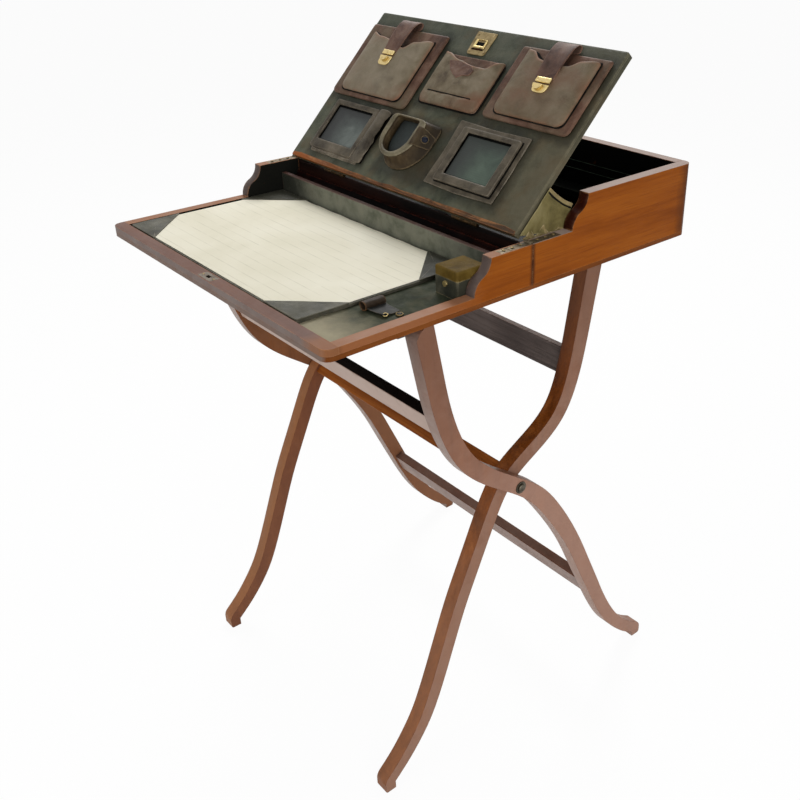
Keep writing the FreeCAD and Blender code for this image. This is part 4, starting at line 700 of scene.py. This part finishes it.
def screws(name, places, radius, body):
    """Countersunk heads, each a low dome split by its slot. A place is a point and the way the head faces."""
    points, faces = [], []
    for number, (centre, outward) in enumerate(places):
        turn = facing(outward) @ Matrix.Rotation(0.9 * number + 0.4, 3, "Z")
        for start, shift in ((0.0, 0.12), (pi, -0.12)):
            angles = [pi * k / 8 + start for k in range(9)]
            half, half_faces = skin(round_rings(SCREW_HEAD, radius, 0.5, angles, centre, turn,
                    radius * shift))
            faces += [tuple(len(points) + i for i in face) for face in half_faces]
            points += half
    return piece(name, (points, faces), body, "dull", on_desk, levels=0)


def stud(name, centre, outward, radius, body, cap, rim, place=on_panel):
    """A pressed stud: a domed cap in a rolled ring. Centre and outward are in the place's own axes."""
    angles = [2 * pi * k / 20 for k in range(20)]
    for label, finish, profile in (("_ring", rim, STUD_RING), ("_cap", cap, STUD_CAP)):
        rings = round_rings(profile, radius, 0.55, angles, centre, facing(outward))
        piece(name + label, skin(rings, loop=label == "_ring"), body, finish, place)


# The panel's leather and what is sewn to it

sewn("panel_leather", rectangle(-253.7, 253.7, 0.4, 270.7, 4.0), -10.7, 0.1, 1.8, 0.0, "green", (70, 0.35),
    stands_for=("panel_cover",))
worn = [(-252, -0.2)]
for k in range(25):
    worn.append((-252 + 21 * k, 5.2 + 2.2 * sin(k * 1.7) + ripple(k * 9, 0, 11, 2.4, 2), 1.0))
sewn("panel_foot_wear", rounded_outline([(252, -0.2)] + worn[:0:-1] + worn[:1], 1.0), -9.2, 0.3, 0.5, 0.0,
    "rust", (16, 0.2))


def wallet(side, x0, x1, foot, mouth, edge, strap_x, strap_low, wide, seed):
    """A document wallet: a padded back, a deep front standing clear of it, and the strap that closes it."""
    name = "wallet_" + side
    outline = rounded_outline([(x0, foot, 10), (x1, foot, 10), (x1, mouth, 5), (x0, mouth, 5)], 8)
    back = sewn(name + "_back", outline, -0.6, 5.2, 3.0, 0.5, "wallet", (42, 0.9), seed, (name,))

    left, right, low = edge[0][0], edge[-1][0], foot + 8

    def lip(u):
        return course(edge, left + (right - left) * u)

    gap = [(left - 1.4, low - 1.8, 12), (right + 2.2, low - 1.8, 12), (right + 2.2, lip(1) + 1, 3)]
    gap += [(right - (right - left) * k / 14, lip(1 - k / 14) + 2.0, 1.0) for k in range(15)]
    gap.append((left - 1.4, lip(0) + 1, 3))
    sewn(name + "_shadow", rounded_outline(gap, 2), 4.0, 6.4, 0.4, 0.0, "black", (40, 0.2), seed)
    pocket(name + "_front", left, right, low, lip, FACE + 6.0, 6.4, 12, "pocket", 2.0, (30, 1.0), (), 9,
        seed + 2)
    path = ((mouth + 1, 15.2), (mouth + 9, 15.6), (mouth + 13, 18.5), (mouth + 11, 23.0), (mouth + 3, 26.5),
        (mouth - 8, 28.2), (mouth - 24, 28.6), (mouth - 40, 27.6), (strap_low + 14, 26.4), (strap_low, 26.2))
    stations = [(strap_x, v, w, half) for (v, w), half in zip(path, wide)]
    ribbon(name + "_strap_leather", stations, 2.2, "strap", (name + "_strap",), seed)


LEFT_LIP = ((-230, 229), (-205, 222), (-168, 218), (-138, 208), (-120, 222), (-86, 229))
RIGHT_LIP = ((102, 246), (116, 243), (135, 231), (160, 226), (186, 228), (206, 239), (230, 243))
wallet("left", -249.5, -67.0, 117, 246, LEFT_LIP, -160.5, 177.5, (22, 22, 22, 21, 20, 19, 18, 16.5, 15, 14.5),
    1.0)
wallet("right", 83.5, 243.5, 138, 252, RIGHT_LIP, 162.0, 183.5, (20, 20, 20, 19.5, 19, 18.5, 18, 17, 16, 15),
    6.0)


POCKET_LEFT, POCKET_RIGHT, POCKET_FOOT, POCKET_HEAD = -54, 70, 138, 221
SCOOP = ((-54, 223), (-44, 220), (-12, 210), (20, 204.5), (45, 204), (60, 217), (70, 220))


def scooped(u):
    """The centre pocket's mouth at a share of its width."""
    return course(SCOOP, POCKET_LEFT + (POCKET_RIGHT - POCKET_LEFT) * u)


pocket_back = [(POCKET_LEFT, POCKET_FOOT, 9), (POCKET_RIGHT, POCKET_FOOT, 9), (POCKET_RIGHT, POCKET_HEAD, 4),
    (POCKET_LEFT, POCKET_HEAD, 4)]
sewn("centre_pocket_back", rounded_outline(pocket_back, 8), -0.6, 1.8, 1.1, 0.2, "wallet", (30, 0.4), 11)
sewn("centre_pocket_shadow", rounded_outline([(-55.2, 135.6, 10), (73.6, 135.6, 10), (73.6, 217, 4),
            (-55.2, 216, 4)], 8), -0.8, 1.0, 0.3, 0.0, "black", (30, 0.1), 13)
pocket("centre_pocket_front", POCKET_LEFT, POCKET_RIGHT, POCKET_FOOT, scooped, FACE + 1.4, 7.0, 13, "pocket",
    1.8, (20, 1.2), ((155.5, 1.8, 1.6),), 6, 12.0, ("centre_pocket",))
tear = [(-30, 206.5), (-10, 208), (20, 203), (28, 197), (25, 188), (12, 186), (4, 180.5), (-8, 186),
    (-18, 192)]
sewn("centre_pocket_tear", rounded_outline(tear[::-1], 2.0, 4.0), 6.0, 10.2, 0.5, 0.0, "strap", (7, 0.7), 14)
# A black sheet: painted shade in the pocket's slit
sewn("centre_pocket_slit", rectangle(-39, 53, 154.6, 156.4, 0.5), 6.0, 8.3, 0.3, 0.0, "black", (30, 0.1), 15)

# Photograph frames

def frame_loops(outer_box, inner_box, outer_radius=3.0, inner_radius=1.5, along=10):
    """Matching outlines of a frame: the same corners and edges, point for point."""
    boxes = ((outer_box, outer_radius), (inner_box, inner_radius))
    return [rectangle(*box, radius, bend=3, along=along) for box, radius in boxes]


def photo_frame(side, outer_box, inner_box, low, high, seed):
    """A leather frame around a sunk card, with a dark gap under its outer edge."""
    name = "photo_" + side
    outer, inner = frame_loops(outer_box, inner_box)
    profile = ((0.02, low), (0.0, low + 0.8), (0.0, high - 0.9), (0.07, high - 0.2), (0.5, high),
        (0.9, high - 0.3), (1.0, high - 1.2), (1.0, low))
    surround(name + "_frame", outer, inner, profile, "frame", uneven=(26, 0.35), seed=seed,
        stands_for=("photo_frame_" + side,))
    x0, x1, y0, y1 = outer_box
    sewn(name + "_shadow", rectangle(x0 - 0.6, x1 + 1.6, y0 - 1.4, y1 + 0.6, 2), low - 3.2, low - 0.2, 0.3,
        0.0, "black", (30, 0.1), seed)
    x0, x1, y0, y1 = inner_box
    stands_for = ("photo_inserts",) if side == "left" else ()
    sewn(name + "_insert", rectangle(x0 + 2.2, x1 - 0.8, y0 + 0.8, y1 - 2.6, 2), low - 0.4, low + 0.7, 0.5,
        0.0, "slate_" + side, (30, 0.2), seed, stands_for)


photo_frame("left", (-219.5, -112, 21.5, 107.5), (-211, -122.5, 37, 99), 0.6, 5.4, 21)
photo_frame("right", (73, 184, 32.5, 116.5), (85, 170, 45, 109), 3.0, 7.6, 33)
backing = [(55, 26.5, 2), (120, 24.0, 2), (192, 26, 2), (193, 70, 2), (192, 125.5, 3), (120, 124, 2),
    (54.5, 126.5, 3), (57, 76, 2)]
sewn("photo_right_backing", rounded_outline(backing, 3), -0.5, 2.3, 1.1, 0.0, "frame", (34, 0.8), 31)


def rolled_edge():
    """The frame's right border: a leather edge turned back on itself, gaping above the panel."""
    rings = []
    for k in range(25):
        v = 19 + 90 * k / 24
        sway = 1.2 * sin(k * 0.9) + ripple(v, 0, 9, 2.8, 4)
        gape = 1.4 + 1.2 * sin(k * 0.45 + 0.6)
        rise = min(max((v - 42) / 18, 0.0), 1.0)
        lift = 0.36 + 0.64 * rise * rise * (3 - 2 * rise)
        path = ((-112.5, 18.6), (-108, 21.0), (-101, 21.8 + gape), (-94, 21.4 + gape), (-88.5, 19.6 + gape),
            (-86.5, 18.0 + gape))
        path = [(x + sway * (x + 112.5) / 26, 18.0 + (w - 18.0) * lift) for x, w in path]
        top = [(x, v, w) for x, w in path]
        under = [(x, v, w - 2.0) for x, w in path]
        rings.append(top + under[::-1])
    piece("photo_left_rolled_edge", skin(rings), "panel", "frame")
    sewn("photo_left_roll_shadow", rectangle(-112, -86, 20, 108, 2), -0.5, 0.9, 0.3, 0.0, "black", (20, 0.2),
        23)


def torn_edge(number):
    """A strip of the frame's foot, frayed along its length."""
    rings = []
    for i in range(13):
        x = -214 + 118 * i / 12
        v = 17.5 + 1.6 * number + ripple(i * 9, number * 7, 10, 1.6, 5)
        w = FACE + 1.0 + 0.7 * number
        rings.append([(x, v - 2.2, w - 0.8), (x, v - 1.6, w + 0.5), (x, v + 2.6, w + 0.7),
                (x, v + 2.8, w - 0.8)])
    piece("photo_left_torn_edge_%d" % number, skin(rings), "panel", "frame")


rolled_edge()
for number in range(3):
    torn_edge(number)


# Watch holder

def horseshoe(x, middle_v, radius, head, square, count=40):
    """A U outline: a round foot, straight sides and a square head, evenly divided."""
    points = []
    for k in range(count // 2 + 1):
        a = pi + pi * k / (count // 2)
        points.append(Vector((x + radius * cos(a), middle_v + radius * sin(a))))
    side = count // 4
    rise = head - middle_v - square
    points += [Vector((x + radius, middle_v + rise * k / side)) for k in range(1, side)]
    points += eased(Vector((x + radius, head - square)), Vector((x + radius, head)),
        Vector((x + radius - square, head)))
    flat = 2 * radius - 2 * square
    points += [Vector((x + radius - square - flat * k / side, head)) for k in range(1, side)]
    points += eased(Vector((x - radius + square, head)), Vector((x - radius, head)),
        Vector((x - radius, head - square)))
    points += [Vector((x - radius, head - square - rise * k / side)) for k in range(1, side)]
    return points


outer = horseshoe(-23, 76.5, 38.5, 104, 10)
inner = horseshoe(-26.5, 72, 26, 102.4, 6)
wall = [(horseshoe(-15, 76, 49, 108, 10), 0.5), (horseshoe(-15, 77, 47.5, 107, 10), 2.6),
    (horseshoe(-15.5, 78.5, 44.5, 106, 10), 6.0), (horseshoe(-18.5, 78, 41, 105, 10), 11.0), (outer, 15.6),
    (inset(outer, 2), 16.4), (inner, 14), (inner, 0.6)]
moulding("watch_ring", wall, "watch", uneven=(24, 0.5), seed=43, stands_for=("watch_holder",))
surround("watch_rim", outer, inner, ((0.02, 15.4), (0.03, 17.8), (0.2, 18.8), (0.7, 18.9), (0.97, 17.8),
        (1.04, 15.2)), "rim", uneven=(22, 0.5), seed=47)
sewn("watch_bed", horseshoe(-26.5, 72, 27, 103.4, 6), 0.8, 2.6, 0.8, 0.0, "bed", (14, 0.5), 45)


WATCH_TAB_V = 79


def watch_tab():
    """A pointed leather tab that comes over the ring's right side."""
    rings = []
    for k in range(13):
        t = k / 12
        x = course(((0.0, 6.5), (0.3, 15.0), (0.65, 24.0), (1.0, 33.0)), t)
        w = course(((0.0, 34.0), (0.3, 33.2), (0.65, 26.4), (1.0, 17.6)), t)
        half = 15 * (1 - 0.4 * t ** 2)
        row = [(x, WATCH_TAB_V + share * half, w) for share in (-1.0, -0.9, -0.3, 0.3, 0.9, 1.0)]
        rings.append(row + [(px - 1.4, pv, pw - 1.2) for px, pv, pw in row[::-1]])
    piece("watch_tab", skin(rings), "panel", "watch")


watch_tab()
stud("watch_stud", (24.5, WATCH_TAB_V, 27.0), (0.66, 0, 0.75), 4.6, "panel", "night", "watch")


# Writing bed

pad("lining_leather", rectangle(-256.6, 256.6, -285.6, -32.4, 2), 751.1, 754.0, 0.9, 0.0, "flap", "lining",
    on_desk, (60, 0.45), ("flap_lining",), 51)


SHEET_LEFT, SHEET_FRONT, SHEET_Z = -252, -281, 759.03
SHEET_WIDTH, SHEET_DEPTH = 434, 244
BLOTTER_LEFT, BLOTTER_RIGHT, BLOTTER_FRONT, BLOTTER_REAR = -254.4, 184.4, -283.4, -34.6
CORNER_LEG = 74


def blotting_sheet():
    """The paper, with a slightly wavy rear edge."""
    columns, rows = 60, 36

    def spot(i, j):
        x = SHEET_LEFT + SHEET_WIDTH * i / columns
        y = SHEET_FRONT + SHEET_DEPTH * j / rows
        if j == rows:
            y += 0.7 * sin(i * 0.9)
        return (x, y, SHEET_Z + ripple(x, y, 60, 0.16, 3))

    sheet = piece("blotting_sheet", grid(columns, rows, spot), "flap", "paper", on_desk,
        ("blotter_paper",), 0.35)


blotting_sheet()
for row, cy, sy in (("front", BLOTTER_FRONT, 1), ("rear", BLOTTER_REAR, -1)):
    for side, cx, sx in (("left", BLOTTER_LEFT, 1), ("right", BLOTTER_RIGHT, -1)):
        legs = [(cx + sx * CORNER_LEG, cy, 2), (cx, cy + sy * CORNER_LEG, 2)]
        outline = rounded_outline([(cx, cy, 3)] + legs[::sx * sy], 2)
        stands_for = ("blotter_corners",) if (row, side) == ("front", "left") else ()
        pad("blotter_corner_%s_%s" % (row, side), outline, 754.5, 760.5, 0.9, 0.35, "flap", "corner",
            on_desk, (26, 0.3), stands_for, cx)


# Pen loop with its tongue and catch

LOOP_X, LOOP_Z, LOOP_FRONT, LOOP_LONG = 203, 760.2, -206, 30


def pen_loop():
    """A rolled tube of leather, the tongue beside it with an eye, and the catch on the lining."""
    rings = []
    for k in range(15):
        y = LOOP_FRONT + LOOP_LONG * k / 14
        swell = ripple(y, 0, 7, 0.5, 8)
        row = []
        for wall, turns in ((5.9, range(24)), (4.7, range(23, -1, -1))):
            for j in turns:
                a = 2 * pi * j / 24 - 0.5
                r = wall + swell + 0.25 * sin(3 * a)
                row.append((LOOP_X + 1.12 * r * cos(a), y, LOOP_Z + r * sin(a)))
        rings.append(row)
    count = len(rings[0])
    points, faces = skin(rings, caps=False)
    for ring in (0, len(rings) - 1):
        for j in range(23):
            a, b = ring * count + j, ring * count + j + 1
            faces.append((a, b, ring * count + count - 2 - j, ring * count + count - 1 - j))
    piece("pen_loop_roll", (points, faces), "flap", "roll", on_desk, ("pen_loop",))
    rings = []
    for k in range(13):
        t = k / 12
        x = 207 + 28 * t
        z = 755.4 + 3.8 * exp(-t * 5) + 0.9 * t * t + 0.6 * sin(t * pi)
        row = []
        for share in (-1.0, -0.93, -0.4, 0.2, 0.7, 0.95, 1.0):
            curl = 1.6 * max(0.0, -share) ** 3 * (0.4 + t)
            row.append((x, -190 + share * (14 - 1.5 * t) + 3 * t, z + curl))
        rings.append(row + [(px, py, pz - 1.3) for px, py, pz in row[::-1]])
    piece("pen_loop_tongue", skin(rings), "flap", "tongue", on_desk)
    # The eye's black cap is painted shade in its hole
    stud("pen_loop_eye", (234, -196, 756.8), (0.1, -0.2, 1), 2.6, "flap", "black", "brass", on_desk)
    stud("pen_loop_catch", (241, -181, 755.4), (0, 0, 1), 3.6, "flap", "tongue", "dull", on_desk)


pen_loop()


# Gussets, pleated between the panel's edge and the case sides

def strip(points_along, across):
    """Rings of a narrow strip: across is its section, each point (up, out of the case side)."""
    rings = []
    for x, y, z, sign in points_along:
        rings.append([(sign * (x + out), y + 0.53 * up, z + 0.85 * up) for up, out in across])
    return skin(rings)


GUSSET_X = 255.3
CRUMPLES = ((10, 7, 12.0), (33, 7, 13.0), (64, 6, 7.0))
HEM = ((-4.4, -0.9), (-4.4, 0.9), (-1.0, 1.15), (0.4, 0.8), (0.4, -0.8), (-1.0, -1.15))
HEM_SHADOW = ((-7.4, -0.6), (-7.4, 0.6), (-4.2, 0.75), (-4.2, -0.75))


def gusset(side, sign):
    """A pleated web, its hem with a shadow line, and the leather crumpled at its foot."""
    panel_foot, panel_head = Vector((-6.3, 811.1)), Vector((43.9, 861.3))
    case_foot, case_head = Vector((72, 799.0)), Vector((86, 832.0))
    web_columns, web_rows = 40, 26
    crumple_columns, crumple_rows = 60, 8

    def pleated(i, j):
        s, t = i / web_columns, j / web_rows
        low = panel_foot + (case_foot - panel_foot) * s
        high = panel_head + (case_head - panel_head) * s
        at = low + (high - low) * t
        at.y -= 3.0 * sin(pi * s) * t
        fold = 0.75 * sin(s * pi * 5 + 1.2 * t) * (0.35 + 0.65 * (1 - t))
        return (sign * (GUSSET_X + fold + ripple(at.x, at.y, 15, 0.5, 7)), at.x, at.y)

    def crumpled(i, j):
        y = 1 + 71 * i / crumple_columns
        lump = max(rise * exp(-((y - middle) / wide) ** 2) for middle, wide, rise in CRUMPLES)
        z = 801 + (3.0 + lump) * j / crumple_rows
        x = GUSSET_X + 0.9 * sin(j * 0.9 + i * 0.55) + ripple(y, z, 4.5, 1.3, 9)
        return (sign * min(256.5, max(254.3, x)), y + 1.6 * sin(j * 0.8 + i * 0.3), z)

    web = piece("gusset_web_" + side, grid(web_columns, web_rows, pleated), "case", "gusset",
        on_desk, ("gusset_" + side,), 0.7)
    edge = []
    for k in range(17):
        s = k / 16
        at = panel_head + (case_head - panel_head) * s
        at.y -= 3.0 * sin(pi * s)
        edge.append((GUSSET_X + 0.26 * sin(s * pi * 5 + 1.2), at.x, at.y, sign))
    parts = [web]
    for label, finish, section in (("hem", "hem", HEM), ("hem_shadow", "black", HEM_SHADOW)):
        name = "gusset_%s_%s" % (label, side)
        parts.append(piece(name, strip(edge, section), "case", finish, on_desk))
    crumple = grid(crumple_columns, crumple_rows, crumpled)
    parts.append(piece("gusset_crumple_" + side, crumple, "case", "hem", on_desk, thick=0.9))
    for made in parts:
        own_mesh(made)


gusset("left", -1)
gusset("right", 1)


# Seams along the case's lined back

BACK_FACE, SEAM_FACE = 288.3, 287.6
for number, z in enumerate((800.0, 812.4)):
    section = ((BACK_FACE, z - 0.7), (SEAM_FACE, z - 0.5), (SEAM_FACE, z + 0.5), (BACK_FACE, z + 0.7))
    rings = []
    for k in range(26):
        sway = ripple(k * 20, number * 50, 60, 0.5)
        rings.append([(-250 + 20 * k, y, high + sway) for y, high in section])
    piece("case_back_seam_%d" % number, skin(rings), "case", "seam", on_desk)


# Small metalwork

for side, x, foot, end in (("left", -158.7, 173.5, 178), ("right", 165.5, 182.5, 184)):
    low = [(x - 12, foot, 7), (x + 12, foot, 7), (x + 13.2, end + 11.4, 1), (x - 13.2, end + 11.4, 1)]
    sewn("clasp_%s_keeper" % side, rounded_outline(low, 1, 3.0), 12.2, 15.15, 0.6, 0.0, "brass", (12, 0.05),
        x, ("wallet_clasp_plates",) if side == "left" else ())
    sewn("clasp_%s_bar" % side, rectangle(x - 13, x + 13, end + 13.1, end + 20.8, 0.8), 12.8, 16.8, 1.0, 0.3,
        "brass", (12, 0.1), x, ())
plate = [(-18.5, 226, 5), (18.5, 226, 5), (20.5, 264, 2), (-20.5, 264, 2)]
sewn("finger_bezel", rounded_outline(plate, 3), -0.4, 1.7, 0.8, 0.0, "plate", (14, 0.12), 71,
    ("finger_plate",))
# A black and a near-black sheet: painted shade in the finger plate's hole and slot
sewn("finger_hole", rectangle(-8.2, 7.4, 241, 246.8, 0.5), 1.0, 2.0, 0.2, 0.0, "black", (9, 0.05), 72)
sewn("finger_slot", rectangle(-13, 11, 233.6, 236.0, 0.4), 1.0, 2.0, 0.2, 0.0, "trough", (9, 0.05), 73)
outer, inner = frame_loops((-12.5, 11.5, 236.4, 250.8), (-8.4, 7.6, 240.8, 249.8), 1.2, 0.5, 4)
surround("finger_loop", outer, inner, ((0.0, 1.2), (0.06, 2.8), (0.35, 3.6), (0.75, 3.2), (1.0, 2.2),
        (1.0, 1.2)), "brass", "brass", uneven=(12, 0.1))
tilt = Vector((0, -HALF, HALF))
plate_screws = [(on_panel(x, v, FACE + 1.75) / MM, tilt) for x in (-15.5, 15.5) for v in (231, 258.5)]
screws("finger_plate_screws", plate_screws, 1.7, "panel")
UP = (0, 0, 1)
HINGE_SCREW_X, HINGE_SCREW_Z = 265, 804.9
for body, way in (("case", 1), ("flap", -1)):
    leaf = [((sign * HINGE_SCREW_X, way * y, HINGE_SCREW_Z), UP) for sign in (-1, 1) for y in (14, 28, 42)]
    screws("hinge_screws_" + body, leaf, 2.0, body)
screws("lock_screws", [((x, -295, 760.1), UP) for x in (-13, 13)], 1.5, "flap")


# Studio

def studio():
    """A pale floor that fades to white, three soft lamps and the camera of the photograph."""
    scene = bpy.context.scene

    floor = bpy.data.meshes.new("floor")
    reach = 80.0
    floor.from_pydata([(-reach, -reach, 0), (reach, -reach, 0), (reach, reach, 0), (-reach, reach, 0)], [],
        [(0, 1, 2, 3)])
    ground = stand("studio_floor", floor)
    make = Shader("studio", "floor")
    make.set(Base_Color=make.mix(make.noise(3, 2), (240, 240, 239), (246, 246, 246)), Roughness=0.9)
    glow = make.add("Emission", {"Color": WHITE, "Strength": 1.0})
    make.feed(make.output.inputs[0], make.blend(make.times(make.seen(), 0.95), make.surface, glow))
    floor.materials.append(make.material)

    world = scene.world or bpy.data.worlds.new("studio")
    scene.world = world
    world.use_nodes = True
    sky = Nodes(world.node_tree)
    dim = sky.add("Background", {0: WHITE, 1: 0.3})
    bright = sky.add("Background", {0: WHITE, 1: 1.0})
    sky.add("OutputWorld", {0: sky.blend(sky.seen(), dim, bright)})

    lamps = (
        ("key", (-1.5, 1.4, 2.8), (0.0, 0.0, 0.75), 1.2, 62),
        ("side", (2.5, -0.7, 1.3), (0.0, 0.0, 0.45), 1.8, 34),
        ("front", (0.1, -2.8, 2.1), (0.0, 0.0, 0.6), 2.0, 28),
    )
    for name, eye, aim, size, power in lamps:
        data = bpy.data.lights.new(name, "AREA")
        data.shape = "SQUARE"
        data.size = size
        data.energy = power
        lamp = stand(name, data)
        lamp.location = eye
        lamp.rotation_euler = (Vector(aim) - Vector(eye)).to_track_quat("-Z", "Y").to_euler()

    # The camera was solved from corners of the desk in the photograph, in its pixels
    picture, focal, centre_x, centre_y = 800, 952.27, 472.77, 376.12
    lens = bpy.data.cameras.new("camera")
    lens.sensor_width = 36.0
    lens.lens = lens.sensor_width * focal / picture
    lens.shift_x = (picture / 2 - centre_x) / picture
    lens.shift_y = (centre_y - picture / 2) / picture
    place = (1.0472, -0.7715, 1.2057)
    turn, rise, roll = (radians(a) for a in (49.0, 28.084, -0.398))
    ahead = Vector((-sin(turn) * cos(rise), cos(turn) * cos(rise), -sin(rise)))
    right = Vector((cos(turn), sin(turn), 0))
    up = right.cross(ahead)
    right, up = right * cos(roll) + up * sin(roll), up * cos(roll) - right * sin(roll)
    axes = Matrix((right, up, -ahead)).transposed().to_4x4()
    scene.camera = stand("camera", lens)
    scene.camera.matrix_world = Matrix.Translation(place) @ axes
    scene.view_settings.view_transform = "Standard"


studio()
